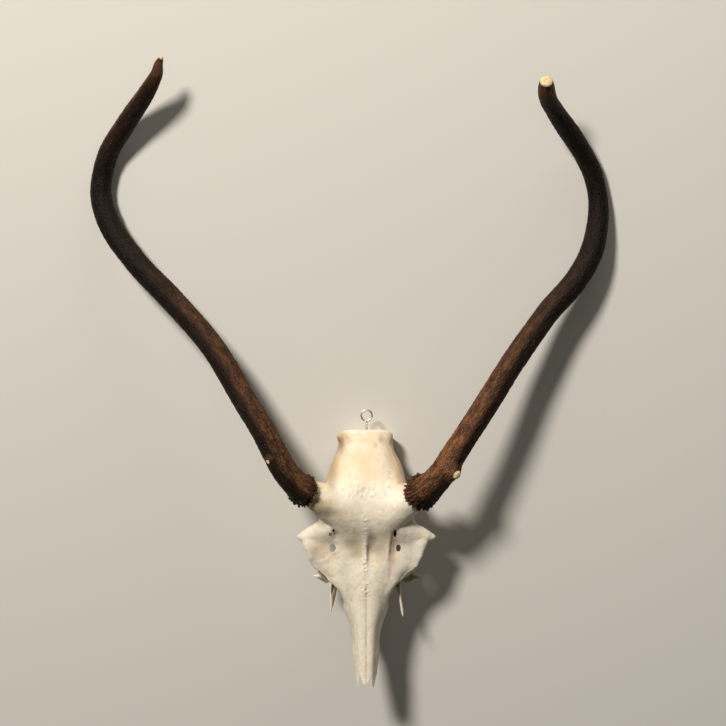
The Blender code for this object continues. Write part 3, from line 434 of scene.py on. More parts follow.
def bone_plate(rows, thickness):
    """A closed plate: a sheet of points, and the same sheet moved in along its normals."""
    rows = np.asarray(rows, float)
    count, across = rows.shape[:2]
    normals = np.cross(np.gradient(rows, axis=1), np.gradient(rows, axis=0))
    normals /= np.linalg.norm(normals, axis=2, keepdims=True)
    inner = rows - normals * np.asarray(thickness, float).reshape(-1, 1, 1)
    points = np.concatenate([rows.reshape(-1, 3), inner.reshape(-1, 3)])
    outside = rows_of_faces(count, across, False)
    number = np.arange(count * across).reshape(count, across)
    edge = np.concatenate([number[0, :-1], number[:-1, -1], number[-1, :0:-1], number[:0:-1, 0]])
    after = np.roll(edge, -1)
    half = count * across
    rim_faces = np.stack([edge, after, after + half, edge + half], axis=-1)
    return points, np.concatenate([outside, outside[:, ::-1] + half, rim_faces]).tolist()


def skin_over(rings):
    """A closed body through rings of points, with flat ends."""
    rings = np.asarray(rings, float)
    count, around = rings.shape[:2]
    faces = rows_of_faces(count, around, True).tolist()
    faces.append(list(range(around - 1, -1, -1)))
    faces.append(list(range((count - 1) * around, count * around)))
    return rings.reshape(-1, 3), faces


def frames_along(route):
    """Directions along a line and across it, carried on from point to point without twisting."""
    along = np.gradient(route, axis=0)
    along /= np.linalg.norm(along, axis=1, keepdims=True)
    side = Vector(along[0]).orthogonal().normalized()
    sides = []
    for direction in along:
        direction = Vector(direction)
        side = (side - direction * side.dot(direction)).normalized()
        sides.append(tuple(side))
    sides = np.array(sides)
    return along, sides, np.cross(along, sides)


def all_round(side, other, around):
    """Directions across a line, all the way round it at each of its points."""
    angle = np.linspace(0.0, 2 * math.pi, around, endpoint=False)[None, :, None]
    return side[:, None] * np.cos(angle) + other[:, None] * np.sin(angle)


def rod(points, spacing=ROD_STEP, around=16):
    """A round rod of changing radius along a smooth line."""
    points = np.asarray(points, float)
    route = line_through(points, max(3, round(distances_along(points)[-1] / spacing) + 1))
    _, side, other = frames_along(route[:, :3])
    radius = np.maximum(route[:, 3], 0.2)[:, None, None]
    return skin_over(route[:, None, :3] + all_round(side, other, around) * radius)


def to_mesh(name, bodies):
    """One mesh in the head's millimetres from several bodies of points and faces."""
    points, faces, start = [], [], 0
    for body_points, body_faces in bodies:
        points.append(body_points)
        faces += [[corner + start for corner in face] for face in body_faces]
        start += len(body_points)
    mesh = bpy.data.meshes.new(name)
    mesh.from_pydata(np.concatenate(points).tolist(), [], faces)
    return mesh


def show(name, mesh):
    """A mesh as an object of the scene."""
    obj = bpy.data.objects.new(name, mesh)
    bpy.context.scene.collection.objects.link(obj)
    return obj


def with_modifiers(obj):
    """The mesh that an object's modifiers make, after which the object goes."""
    graph = bpy.context.evaluated_depsgraph_get()
    mesh = bpy.data.meshes.new_from_object(obj.evaluated_get(graph))
    bpy.data.objects.remove(obj, do_unlink=True)
    return mesh


def cut_out(mesh, bodies):
    """Take closed bodies away from a mesh."""
    piece = show("bone", mesh)
    tools = bpy.data.collections.new("saw_and_drills")
    for body in bodies:
        tool = bpy.data.objects.new("tool", to_mesh("tool", [body]))
        turned = bmesh.new()
        turned.from_mesh(tool.data)
        bmesh.ops.recalc_face_normals(turned, faces=turned.faces)
        turned.to_mesh(tool.data)
        turned.free()
        tools.objects.link(tool)
    boolean = piece.modifiers.new("cut", "BOOLEAN")
    boolean.operand_type = "COLLECTION"
    boolean.collection = tools
    boolean.solver = "MANIFOLD"
    result = with_modifiers(piece)
    for tool in list(tools.objects):
        bpy.data.objects.remove(tool, do_unlink=True)
    bpy.data.collections.remove(tools)
    return result


def roof_halves(y):
    """The right half of the roof's outline at each y, from the midline down to the wall's foot."""
    stations = [section[0] for section in ROOF_SECTIONS]
    halves = [line_through([(0.0, middle)] + side, ROOF_ACROSS) for _, middle, side in ROOF_SECTIONS]
    return spline(stations, halves, y)


def roof_rows():
    """The outer face of the roof, with the ridge and the hollows of the forehead."""
    y = np.arange(ROOF_SECTIONS[0][0], ROOF_SECTIONS[-1][0] + 0.1, ROOF_STEP)
    half = roof_halves(y)
    right = np.dstack([half[:, :, 0], np.repeat(y[:, None], ROOF_ACROSS, 1), half[:, :, 1]])
    left = right[:, :0:-1].copy()
    left[:, :, 0] *= -1
    rows = np.concatenate([left, right], axis=1)
    x, y = rows[:, :, 0], rows[:, :, 1]
    along = window(y, RIDGE_FROM, RIDGE_TO, RIDGE_FADE)
    ridge = RIDGE_HEIGHT * np.exp(-((x / RIDGE_WIDTH) ** 2)) * along
    depth = np.where(x > 0, HOLLOW_DEPTH_RIGHT, HOLLOW_DEPTH_LEFT)
    hollow = depth * np.exp(-(((np.abs(x) - HOLLOW_X) / HOLLOW_WIDTH) ** 2))
    rows[:, :, 2] += ridge - hollow * np.exp(-(((y - HOLLOW_Y) / HOLLOW_LENGTH) ** 2))
    return rows


def brow_plate(side):
    """The plate over one eye socket, which ends in a spur behind it."""
    table = np.array(BROW_RIM, float)
    y = np.arange(table[0, 0], table[-1, 0] + 0.1, BROW_STEP)
    left, right, rim_z, dish_z = spline(table[:, 0], table[:, 1:], y).T
    rim_x = right if side > 0 else left
    dish_x = np.minimum(BROW_DISH_X, (BROW_ROOT_X + rim_x) / 2 - BROW_RIM_INSET)
    dish_x = np.maximum(dish_x, BROW_MIN_DISH_X)
    root_x = np.minimum(BROW_ROOT_X, dish_x - BROW_ROOT_WIDTH)
    rows = []
    for i, station in enumerate(y):
        row = [
            (root_x[i], dish_z[i] - BROW_ROOT_DROP),
            (dish_x[i], dish_z[i]),
            ((dish_x[i] + 2 * rim_x[i]) / 3, (dish_z[i] + 2 * rim_z[i]) / 3 - BROW_SAG),
            (rim_x[i] - BROW_RIM_INSET, rim_z[i]),
        ]
        rows.append([(side * x, station, z) for x, z in line_through(row, BROW_POINTS)])
    return bone_plate(rows, -side * PLATE_THICKNESS * np.ones(len(y)))


def cheek_wall(side):
    """The front wall of one eye socket, down to the saw cut."""
    down = np.linspace(0.0, 1.0, CHEEK_WALL_POINTS)
    rows = []
    for x, upper, lower in CHEEK_WALL:
        y, z = (upper[i] + (lower[i] - upper[i]) * down for i in (0, 1))
        rows.append(np.stack([np.full_like(down, side * x), y + PLATE_THICKNESS / 2, z], axis=-1))
    return bone_plate(rows, side * PLATE_THICKNESS * np.ones(len(rows)))


def brain_hollow():
    """The inside of the braincase, which keeps the feet of the pedicles out of it."""
    y = np.arange(BRAIN_WALL_Y, BACK_WALL_Y, BRAIN_HOLLOW_STEP)
    outer = roof_halves(y)
    x = outer[:, :, 0] * (1 - BRAIN_HOLLOW_INSET / outer[:, :, 0].max(axis=1)[:, None])
    z = outer[:, :, 1] * (1 - BRAIN_HOLLOW_INSET / outer[:, :, 1].max(axis=1)[:, None])
    z[:, -1] = -SAW_DEPTH
    station = np.repeat(y[:, None], ROOF_ACROSS, 1)
    right = np.dstack([x, station, z])
    left = right[:, :0:-1] * (-1, 1, 1)
    return skin_over(np.concatenate([left, right], axis=1))


def pedicle(side):
    """The bony stalk of one antler, left a little long for the cut at the burr."""
    centre, axis = BURRS[side]
    ends = [(*(centre + axis * far), PEDICLE_RADIUS)
            for far in (-PEDICLE_BELOW_BURR, 0.0, PEDICLE_PAST_BURR)]
    return on_side(PEDICLE_STALK, side) + ends


def slab_across(outline, thickness, y, slope=0.0):
    """A slab that stands across the skull at the given y."""
    outline = mirrored(outline)
    return skin_over([[(x, y + slope * z + far, z) for x, z in outline]
                      for far in (-thickness / 2, thickness / 2)])


def slab_along(outline, thickness):
    """A slab that stands along the skull's middle plane, from an outline in y and z."""
    return skin_over([[(far, y, z) for y, z in outline] for far in (thickness / 2, -thickness / 2)])


def drill(start, end, radii, around=24):
    """A round or oval body between two points, for a hole."""
    start, end = Vector(start), Vector(end)
    turn = (end - start).to_track_quat("Z", "Y").to_matrix()
    angle = np.linspace(0.0, 2 * math.pi, around, endpoint=False)
    flat = [turn @ Vector((radii[0] * math.cos(a), radii[1] * math.sin(a), 0.0)) for a in angle]
    return skin_over([[tuple(place + point) for point in flat] for place in (start, end)])


def read_all(items, name, width=3, kind=float):
    """One property of all the points, edges or faces of a mesh."""
    values = np.empty(len(items) * width, kind)
    items.foreach_get(name, values)
    return values.reshape(-1, width)


def mesh_arrays(mesh):
    """Points, edges and normals of a mesh."""
    return (read_all(mesh.vertices, "co"), read_all(mesh.edges, "vertices", 2, int),
            read_all(mesh.vertex_normals, "vector"))


def put_points(mesh, points):
    """Move the points of a mesh."""
    mesh.vertices.foreach_set("co", np.ascontiguousarray(points).ravel())
    mesh.update()


def neighbour_mean(values, edges):
    """The mean of each point's neighbours."""
    a, b = edges.T
    count = len(values)
    weight = np.bincount(a, minlength=count) + np.bincount(b, minlength=count)
    columns = values.reshape(count, -1).T
    sums = [np.bincount(a, column[b], count) + np.bincount(b, column[a], count) for column in columns]
    return (np.stack(sums, axis=-1) / np.maximum(weight, 1)[:, None]).reshape(values.shape)


def lumps(points, size, seed):
    """Smooth noise from -1 to 1 with features of the given size."""
    spots = points / size + seed
    return np.array([noise.noise(spot) for spot in spots.tolist()])


def chain_distance(points, chain):
    """Signed distance to a chain of balls of changing radius."""
    nearest = np.full(len(points), np.inf)
    chain = np.asarray(chain, float)
    for near, far in zip(chain, chain[1:]):
        along = far[:3] - near[:3]
        t = np.clip((points - near[:3]) @ along / (along @ along), 0.0, 1.0)
        gap = np.linalg.norm(points - near[:3] - t[:, None] * along, axis=1)
        nearest = np.minimum(nearest, gap - near[3] - t * (far[3] - near[3]))
    return nearest


def spread(x, y, spot, size):
    """Squared distance in plan from a spot, measured in the half width and half length of a patch."""
    return ((x - spot[0]) / size[0]) ** 2 + ((y - spot[1]) / size[1]) ** 2


def line_distance(x, y, route):
    """Distance in plan to a route, and how far along it from 0 to 1."""
    route = np.asarray(route, float)
    starts = distances_along(route)
    nearest, share = np.full(len(x), np.inf), np.zeros(len(x))
    for near, far, start, length in zip(route, route[1:], starts, np.diff(starts)):
        along = (far - near) / length
        t = np.clip((x - near[0]) * along[0] + (y - near[1]) * along[1], 0.0, length)
        gap = np.hypot(x - near[0] - t * along[0], y - near[1] - t * along[1])
        closer = gap < nearest
        nearest[closer] = gap[closer]
        share[closer] = (start + t[closer]) / starts[-1]
    return nearest, share


def grown_skull():
    """All the bones, grown into one skin with soft joins."""
    rows = roof_rows()
    thin = np.clip(rows[:, 0, 1] / NOSE_THIN_TO, 0.0, 1.0)
    bones = [bone_plate(rows, NOSE_THICKNESS + (ROOF_THICKNESS - NOSE_THICKNESS) * thin)]
    for side in (-1, 1):
        bones += [brow_plate(side), cheek_wall(side)]
        bones += [rod(on_side(splinter[side], side)) for splinter in (CHEEK_PRONGS, JAW_TINES)]
        outline, low, high = JAW_BLADES[side]
        bones.append(skin_over([[(side * x, y, z) for x, y in outline] for z in (low, high)]))
        stalk = to_mesh("stalk", [rod(pedicle(side), STALK_STEP, STALK_AROUND)])
        stalk = cut_out(stalk, [brain_hollow()])
        bones.append((mesh_arrays(stalk)[0], [list(face.vertices) for face in stalk.polygons]))
    bones.append(rod(CREST_LINE))
    bones.append(slab_across(BACK_WALL_OUTLINE, BACK_WALL_THICKNESS, BACK_WALL_Y, BACK_WALL_SLOPE))
    bones.append(slab_across(BRAIN_WALL_OUTLINE, BRAIN_WALL_THICKNESS, BRAIN_WALL_Y))
    bones.append(slab_along(SEPTUM_OUTLINE, SEPTUM_THICKNESS))
    raw = show("raw_skull", to_mesh("raw_skull", bones))
    remesh = raw.modifiers.new("grown_together", "REMESH")
    remesh.mode = "VOXEL"
    remesh.voxel_size = SKULL_VOXEL
    mesh = with_modifiers(raw)
    points, edges, _ = mesh_arrays(mesh)
    for _ in range(SMOOTHING_ROUNDS):
        points += SMOOTHING_SHARE * (neighbour_mean(points, edges) - points)
    put_points(mesh, points)
    return mesh, rows


def gap_to_roof(points, rows):
    """How far each point stands out of the roof's outer face; points inside are below zero."""
    count, across = rows.shape[:2]
    faces = rows_of_faces(count, across, False).tolist()
    tree = BVHTree.FromPolygons(rows.reshape(-1, 3).tolist(), faces)
    gaps = []
    for point in points.tolist():
        spot, normal, _, gap = tree.find_nearest(point)
        gaps.append(math.copysign(gap, (Vector(point) - spot).dot(normal)))
    gaps = np.array(gaps)
    return gaps * np.sign(np.median(gaps[points[:, 2] > ABOVE_ROOF_Z]))


def gap_to_plate(points, side):
    """How far each point is from the upper face of one brow plate."""
    plate, _ = brow_plate(side)
    upper = plate[len(plate) // 2:]
    faces = rows_of_faces(len(upper) // BROW_POINTS, BROW_POINTS, False).tolist()
    tree = BVHTree.FromPolygons(upper.tolist(), faces)
    return np.array([tree.find_nearest(point)[3] for point in points.tolist()])


def corner_fill(difference, fillet):
    """How deep a corner is filled, from how unequally far its two sides are."""
    close = np.maximum(fillet - np.abs(difference), 0.0)
    return close * close / (4 * fillet)


def soft_normals(normals, edges, rounds):
    """Normals averaged with their neighbours."""
    for _ in range(rounds):
        normals = neighbour_mean(normals, edges)
    return normals / np.linalg.norm(normals, axis=1, keepdims=True)


def blend_bones(mesh, rows):
    """Fill the corners where the pedicles and the brow plates leave the roof of the skull."""
    points, edges, normals = mesh_arrays(mesh)
    roof_gap = gap_to_roof(points, rows)
    fill = np.zeros(len(points))
    for side in (-1, 1):
        stalk_gap = chain_distance(points, pedicle(side))
        outside = np.minimum(roof_gap, stalk_gap) > -SKIN_BAND
        fill = np.maximum(fill, corner_fill(roof_gap - stalk_gap, PEDICLE_FILLET) * outside)
        share = read_off(PLATE_FILL_SHARE[side], points[:, 1])
        share *= (roof_gap > -SKIN_BAND) & (normals[:, 2] > 0.0)
        plate_gap = gap_to_plate(points, side)
        fill = np.maximum(fill, corner_fill(roof_gap - plate_gap, PLATE_FILLET) * share)
    for _ in range(FILL_SPREAD_ROUNDS):
        fill = neighbour_mean(fill, edges)
    normals = soft_normals(normals, edges, FILL_SPREAD_ROUNDS)
    normals[:, 0] *= fade_in(points[:, 1], SIDEWAYS_FILL_FROM, SIDEWAYS_FILL_LENGTH)
    points += normals * fill[:, None]
    softness = FILL_SOFT_SHARE * fade_in(fill, 0.0, FILL_SOFT_FULL)[:, None]
    for _ in range(FILL_SOFT_ROUNDS):
        points += softness * (neighbour_mean(points, edges) - points)
    put_points(mesh, points)


def wandering(points, amount, size, seed):
    """Plan coordinates shifted about a little, so that lines drawn with them wriggle."""
    flat = points * (1.0, 1.0, 0.2)
    return (points[:, 0] + amount * lumps(flat, size, seed),
            points[:, 1] + amount * lumps(flat, size, seed + 31.0))


def wriggling_line(points, route, wide, amount, size, seed):
    """The points near a line that wriggles, how far each is from it, and how far along from 0 to 1."""
    near = np.flatnonzero(line_distance(points[:, 0], points[:, 1], route)[0] < 3 * wide + amount)
    gap, share = line_distance(*wandering(points[near], amount, size, seed), route)
    return near, gap, share


def knitted(x, y):
    """How near to the rough spot where the nasal bones meet the forehead."""
    return np.exp(-((x + 1.5) / 4.5) ** 2 - ((y - 114.0) / 9.0) ** 2)


def beaded(x, y):
    """How near to the beads along the forehead's ridge, which are thickest at its front end."""
    along = np.maximum(0.35 * window(y, RIDGE_FROM, RIDGE_TO, 6.0), window(y, 136.0, 143.0, 6.0))
    return along * np.exp(-(((x + 1.2) / 2.2) ** 2))


def sutured(x, y):
    """How near to the zigzag joint across the top of the head."""
    return window(np.abs(x + 3.0), 0.0, 26.0, 8.0) * window(y, 226.0, 234.0, 4.0)


# Fine lumps in those places: place, height, stretch, size, seed
ROUGH_PLACES = [
    (beaded, 1.8, (0.6, 1.0, 0.2), 2.4, 15.0),
    (knitted, 2.0, (1.0, 1.0, 1.0), 2.6, 25.0),
    (sutured, 0.8, (1.0, 0.45, 1.0), 2.4, 45.0),
]


def seam_pattern(points):
    """Depth and brownness of the seams at each point."""
    depth, brown = np.zeros(len(points)), np.zeros(len(points))
    for number, (route, deep, wide, wander, brownness) in enumerate(SEAMS):
        near, gap, _ = wriggling_line(points, route, wide, wander, SEAM_WRIGGLE, 5.0 * number)
        patchy = SEAM_LEAST + SEAM_VARIES * lumps(points[near], SEAM_PATCH, 9.0 * number)
        mark = np.exp(-(gap / wide) ** 2) * patchy
        depth[near] = np.maximum(depth[near], deep * mark)
        stain = np.exp(-(gap / (SEAM_STAIN_SPREAD * wide)) ** 2) * patchy
        brown[near] = np.maximum(brown[near], brownness * stain)
    return depth, np.clip(brown, 0.0, 1.0)


def carve(mesh, rows):
    """Work the ridges, grooves, seams and unevenness of real bone into the skin."""
    points, edges, normals = mesh_arrays(mesh)
    x, y, z = points.T
    outside = fade_in(gap_to_roof(points, rows), CARVED_FROM, CARVED_SOFT)
    upper = outside * fade_in(normals[:, 2], UPPER_FROM, UPPER_SOFT)
    rise = np.zeros(len(points))
    lines = [(route, height, wide, RIDGE_WRIGGLE) for route, height, wide in RIDGES]
    lines += [(route, -deep, wide, GROOVE_WRIGGLE) for route, deep, wide in GROOVES]
    for route, height, wide, size in lines:
        near, gap, share = wriggling_line(points, route, wide, LINE_WANDER, size, 2.0)
        ends = np.clip(share * LINE_START_STEEPNESS, 0.0, 1.0)
        ends *= np.clip((1 - share) * LINE_END_STEEPNESS, 0.0, 1.0)
        rise[near] += upper[near] * height * np.exp(-(gap / wide) ** 2) * ends
    for *spot, radius, height in LUMPS:
        rise += upper * height * np.exp(-spread(x, y, spot, (radius, radius)))
    for place, height, stretch, size, seed in ROUGH_PLACES:
        rise += upper * place(x, y) * height * lumps(points * stretch, size, seed)
    rise -= upper * seam_pattern(points)[0]
    for outer, inner, size, seed in UNEVENNESS:
        rise += (inner + (outer - inner) * outside) * lumps(points, size, seed)
    back = outside * fade_in(normals[:, 1], 0.3, 0.4) * fade_in(y, NAPE_FROM_Y, NAPE_SOFT)
    for height, middle, wide, low, high, soft in NAPE:
        form = np.exp(-((np.abs(x) - middle) / wide) ** 2) * window(z, low, high, soft)
        rise += back * height * form
    rise += back * NAPE_ROUGHNESS * lumps(points, NAPE_LUMP, 8.0)
    points += soft_normals(normals, edges, 2) * rise[:, None]
    put_points(mesh, points)


def sawn_skull(mesh):
    """Thin out the faces, then make the saw cuts and the holes."""
    piece = show("bone", mesh)
    fewer = piece.modifiers.new("fewer_faces", "DECIMATE")
    fewer.ratio = min(1.0, SKULL_TRIANGLES / (2 * len(mesh.polygons)))
    mesh = with_modifiers(piece)
    tools = [skin_over([[(x, y, z) for x, y in SAW_AREA] for z in (-SAW_DEPTH, 0.0)])]
    tools.append(skin_over([[(x, y, z) for x, y in NOSE_EDGE + NOSE_CUT] for z in NOSE_CUT_Z]))
    rear = BACK_WALL_Y + BACK_WALL_THICKNESS / 2 + BACK_TRIM_PLAY
    trim = [(rear, -5.0), (rear + BACK_WALL_SLOPE, 1.0),
            (rear + BACK_WALL_SLOPE * BACK_TRIM_TOP_Z, BACK_TRIM_TOP_Z),
            (rear + BACK_TRIM_REACH, BACK_TRIM_TOP_Z + 1.0), (rear + BACK_TRIM_REACH, -5.0)]
    tools.append(slab_along(trim, BACK_TRIM_WIDTH))
    for x, y, wide, long, low, high in BONE_HOLES:
        tools.append(drill((x, y, low), (x, y, high), (wide / 2, long / 2)))
    spine = [(0.0, y, SPINAL_HOLE_Z) for y in (SPINAL_HOLE_FROM_Y, rear - 2 * BACK_TRIM_PLAY)]
    tools.append(drill(*spine, (SPINAL_HOLE_RADIUS, SPINAL_HOLE_RADIUS), ROUND_CUT_POINTS))
    x, y, z = SCREW_SPOT
    tools.append(drill((x, SCREW_HOLE_END_Y, z), (x, y, z), (SCREW_HOLE_RADIUS, SCREW_HOLE_RADIUS)))
    for centre, axis in BURRS.values():
        end = centre + axis * BURR_CUT_REACH
        tools.append(drill(centre, end, (BURR_CUT_RADIUS, BURR_CUT_RADIUS), ROUND_CUT_POINTS))
    return cut_out(mesh, tools)


def note(mesh, name, values, domain="POINT"):
    """Keep a value for each point, for the finish to read."""
    values = np.asarray(values, float)
    kind = "FLOAT" if values.ndim == 1 else "FLOAT_VECTOR"
    attribute = mesh.attributes.new(name, kind, domain)
    attribute.data.foreach_set("value" if values.ndim == 1 else "vector", values.ravel())


def mark_bone(mesh):
    """Where the bone is stained, dirty, pale or sawn, and where shade and light are painted on it."""
    points, edges, normals = mesh_arrays(mesh)
    x, y, z = points.T
    upper = fade_in(normals[:, 2], -0.30, 0.35)
    marks = {kind: np.zeros(len(points)) for kind in (*PATCHES, "painted_jaw_shade")}

    def lay(kind, amount):
        """Add one kind of mark where it is stronger than what is there."""
        marks[kind] = np.maximum(marks[kind], amount)

    soft_x, soft_y = wandering(points, 3.0, 7.0, 50.0)
    for kind, patches in PATCHES.items():
        for *patch, strength in patches:
            lay(kind, strength * np.exp(-spread(soft_x, soft_y, patch[:2], patch[2:])) * upper)
    beyond = fade_in(np.abs(soft_x), read_off(BRAIN_TOP_EDGE, y), BRAIN_TAN_SOFT)
    lay("tan", BRAIN_TAN * beyond * fade_in(y, BRAIN_TAN_FROM_Y, BRAIN_TAN_FADE))
    # Faces that look down are painted tan: painted shade under things
    lay("tan", UNDERSIDE_PAINTED_SHADE * (1.0 - upper))
    # Painted shade low in the broken jaw, under the brow plates, on the blades and the cheek prongs
    low_down = fade_in(z, JAW_SHADE_TOP_Z, -JAW_SHADE_SOFT)
    for patch in JAW_SHADE:
        lay("painted_jaw_shade", np.exp(-spread(x, y, patch[:2], patch[2:]) ** 2) * low_down)
    bend = ((neighbour_mean(points, edges) - points) * normals).sum(axis=1)
    for _ in range(2):
        bend = neighbour_mean(bend, edges)
    # Painted shade where the skin bends inwards, in the hollows
    lay("grime_and_painted_shade", np.clip(bend * HOLLOW_SHADE, 0.0, HOLLOW_SHADE_MOST))
    lay("pale_and_painted_light", np.clip(-bend * EDGE_WHITE, 0.0, EDGE_WHITE_MOST))
    for centre, axis in BURRS.values():
        centre, axis = np.array(centre), np.array(axis)
        depth = -((points - centre) @ axis)
        near = np.linalg.norm(points - centre + depth[:, None] * axis, axis=1) < COLLAR_RADIUS
        lay("stain", COLLAR_STRENGTH * near * fade_in(depth, COLLAR_DEPTH, -COLLAR_DEPTH))
    beads = lumps(points, 2.0, 65.0)
    lay("tan", knitted(x, y) * np.clip(beads * 4.0, 0.0, 1.0) * upper)
    lay("pale_and_painted_light", knitted(x, y) * np.clip(-beads * 4.0, 0.0, 1.0) * upper)
    for kind, values in marks.items():
        note(mesh, kind, values)
    note(mesh, "seam", seam_pattern(points)[1] * upper)
    note(mesh, "spot", points)
    sawn = read_all(mesh.polygons, "center")[:, 2] < SAWN_BELOW_Z
    sawn &= read_all(mesh.polygons, "normal")[:, 2] < SAWN_LOOKS_DOWN
    note(mesh, "sawn", sawn.astype(float), "FACE")


def node(tree, kind, sockets=None, **settings):
    """A node with its sockets set or linked."""
    made = tree.nodes.new(kind)
    for key, value in settings.items():
        setattr(made, key, value)
    for key, value in (sockets or {}).items():
        socket = made.inputs[key]
        if isinstance(value, bpy.types.NodeSocket):
            tree.links.new(value, socket)
        else:
            socket.default_value = value
    return made


def kept(tree, name):
    """A value kept for each point of the mesh."""
    return node(tree, "ShaderNodeAttribute", attribute_type="GEOMETRY", attribute_name=name)


def speckle(tree, place, scale, detail=4.0, roughness=0.55, stretch=(1.0, 1.0, 1.0)):
    """Noise of the given scale per millimetre."""
    mapped = node(tree, "ShaderNodeMapping", {"Vector": place, "Scale": [scale * s for s in stretch]})
    return node(tree, "ShaderNodeTexNoise", {"Vector": mapped.outputs[0], "Scale": 1.0,
                                             "Detail": detail, "Roughness": roughness}).outputs["Fac"]


def reach(tree, value, low, high, to_low=0.0, to_high=1.0):
    """A value stretched from one range to another and held at its ends."""
    return node(tree, "ShaderNodeMapRange", {"Value": value, "From Min": low, "From Max": high,
                                             "To Min": to_low, "To Max": to_high}).outputs[0]


def product(tree, a, b):
    """Two values multiplied."""
    return node(tree, "ShaderNodeMath", {0: a, 1: b}, operation="MULTIPLY").outputs[0]


def total(tree, a, b):
    """Two values added."""
    return node(tree, "ShaderNodeMath", {0: a, 1: b}, operation="ADD").outputs[0]


def tint(tree, below, colour, amount):
    """Lay a colour over another one."""
    mixed = node(tree, "ShaderNodeMix", data_type="RGBA", blend_type="MIX")
    for key, value in (("Factor", amount), ("A", below), ("B", colour)):
        socket = next(s for s in mixed.inputs if s.name == key and s.type in ("VALUE", "RGBA")
                      and s.enabled)
        if isinstance(value, bpy.types.NodeSocket):
            tree.links.new(value, socket)
        else:
            socket.default_value = (*value, 1.0)
    return next(s for s in mixed.outputs if s.enabled)


def ramp(tree, value, *stops):
    """Colours read off a value."""
    made = node(tree, "ShaderNodeValToRGB", {"Fac": value})
    band = made.color_ramp
    while len(band.elements) < len(stops):
        band.elements.new(0.5)
    for element, (position, colour) in zip(band.elements, stops):
        element.position = position
        element.color = (*colour, 1.0)
    return made.outputs["Color"]


def cells(tree, place, scale, feature="F1", randomness=1.0):
    """Distance from the middles, or from the edges, of cells in space."""
    sockets = {"Vector": place, "Scale": scale, "Randomness": randomness}
    return node(tree, "ShaderNodeTexVoronoi", sockets, feature=feature).outputs["Distance"]


def weighted(tree, *parts):
    """The sum of several values, each with its own weight."""
    (value, weight), *others = parts
    result = product(tree, value, weight)
    for value, weight in others:
        result = total(tree, result, product(tree, value, weight))
    return result


def new_finish(name):
    """A new material, with its nodes and its shader."""
    material = bpy.data.materials.new(name)
    material.use_nodes = True
    return material, material.node_tree, material.node_tree.nodes["Principled BSDF"]


def surface(tree, shader, colour, roughness, height, strength, distance):
    """Give a shader its colour, its roughness and a fine relief."""
    bump = node(tree, "ShaderNodeBump", {"Height": height, "Strength": strength,
                                         "Distance": distance})
    tree.links.new(colour, shader.inputs["Base Color"])
    tree.links.new(roughness, shader.inputs["Roughness"])
    tree.links.new(bump.outputs[0], shader.inputs["Normal"])


def bleached_bone():
    """Boiled and bleached bone: ivory, mottled, with fine pores, cracks and old stains, and with painted
    shade and light from the marks.
    """
    material, tree, shader = new_finish("bleached_bone")
    spot = kept(tree, "spot").outputs["Vector"]
    cloud = speckle(tree, spot, 0.045, 5.0)
    mottle = speckle(tree, spot, 0.22, 6.0, 0.62)
    grain = speckle(tree, spot, 1.1, 5.0, 0.65)
    noises = {"cloud": cloud, "mottle": mottle, "grain": grain}
    colour = ramp(tree, mottle, (0.36, (0.68, 0.58, 0.43)), (0.50, (0.78, 0.70, 0.56)),
                  (0.64, (0.84, 0.78, 0.66)))
    colour = tint(tree, colour, (0.79, 0.73, 0.61), reach(tree, cloud, 0.35, 0.7, 0.0, 0.6))
    for mark, shade, strength, broken_by, low, high, least, most in BONE_TINTS:
        amount = product(tree, kept(tree, mark).outputs["Fac"],
                         reach(tree, noises[broken_by], low, high, least, most))
        colour = tint(tree, colour, shade, product(tree, amount, strength))

    crack_place = node(tree, "ShaderNodeMapping", {"Vector": spot, "Scale": (0.10, 0.05, 0.08)})
    cracks = cells(tree, crack_place.outputs[0], 1.0, "DISTANCE_TO_EDGE")
    crack = product(tree, reach(tree, cracks, 0.0, 0.018, 1.0, 0.0),
                    reach(tree, cloud, 0.45, 0.6, 0.0, 1.0))
    colour = tint(tree, colour, (0.36, 0.26, 0.16), product(tree, crack, 0.35))
    pore = product(tree, reach(tree, cells(tree, spot, 0.55), 0.06, 0.20, 1.0, 0.0),
                   reach(tree, mottle, 0.5, 0.62, 0.0, 1.0))
    colour = tint(tree, colour, (0.34, 0.25, 0.16), product(tree, pore, 0.5))
    sponge = reach(tree, cells(tree, spot, 0.75), 0.22, 0.5, 1.0, 0.0)
    sawn = kept(tree, "sawn").outputs["Fac"]
    sawn_colour = tint(tree, (0.70, 0.58, 0.42), (0.22, 0.15, 0.09), sponge)
    colour = tint(tree, colour, sawn_colour, product(tree, sawn, 0.9))

    shader.inputs["Specular IOR Level"].default_value = 0.42
    height = weighted(tree, (grain, 0.30), (mottle, 0.35), (pore, -0.5), (crack, -0.4),
                      (product(tree, sponge, sawn), -1.0))
    roughness = reach(tree, grain, 0.3, 0.7, 0.50, 0.68)
    surface(tree, shader, colour, roughness, height, 0.55, 0.0007)
    return material


def finish_piece(piece_name, mesh, material, cad_node):
    """Put a finished mesh where the head lies, in place of the imported part that it stands for."""
    mesh.transform(Matrix.Scale(MM, 4))
    mesh.transform(head)
    mesh.materials.clear()
    mesh.materials.append(material)
    mesh.shade_smooth()
    piece = show(piece_name, mesh)
    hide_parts(cad_node)
    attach(piece, "root")
    return piece


skull_mesh, roof = grown_skull()
blend_bones(skull_mesh, roof)
carve(skull_mesh, roof)
skull_mesh = sawn_skull(skull_mesh)
mark_bone(skull_mesh)
skull = finish_piece("bleached_skull", skull_mesh, bleached_bone(), "skull")
skull.data.set_sharp_from_angle(angle=math.radians(50.0))


# Antlers
# Each antler is one piece of solid bone that hardened under velvet: a ragged burr on the pedicle,
# a pearled beam with faint vein furrows, and the stub of a brow tine. Rubbing on bark left it
# red-brown to almost black, with the points polished to the pale bone.
ANTLER_AROUND = 160
BURR_GAP = 0.3
BEAM_START = 5.5
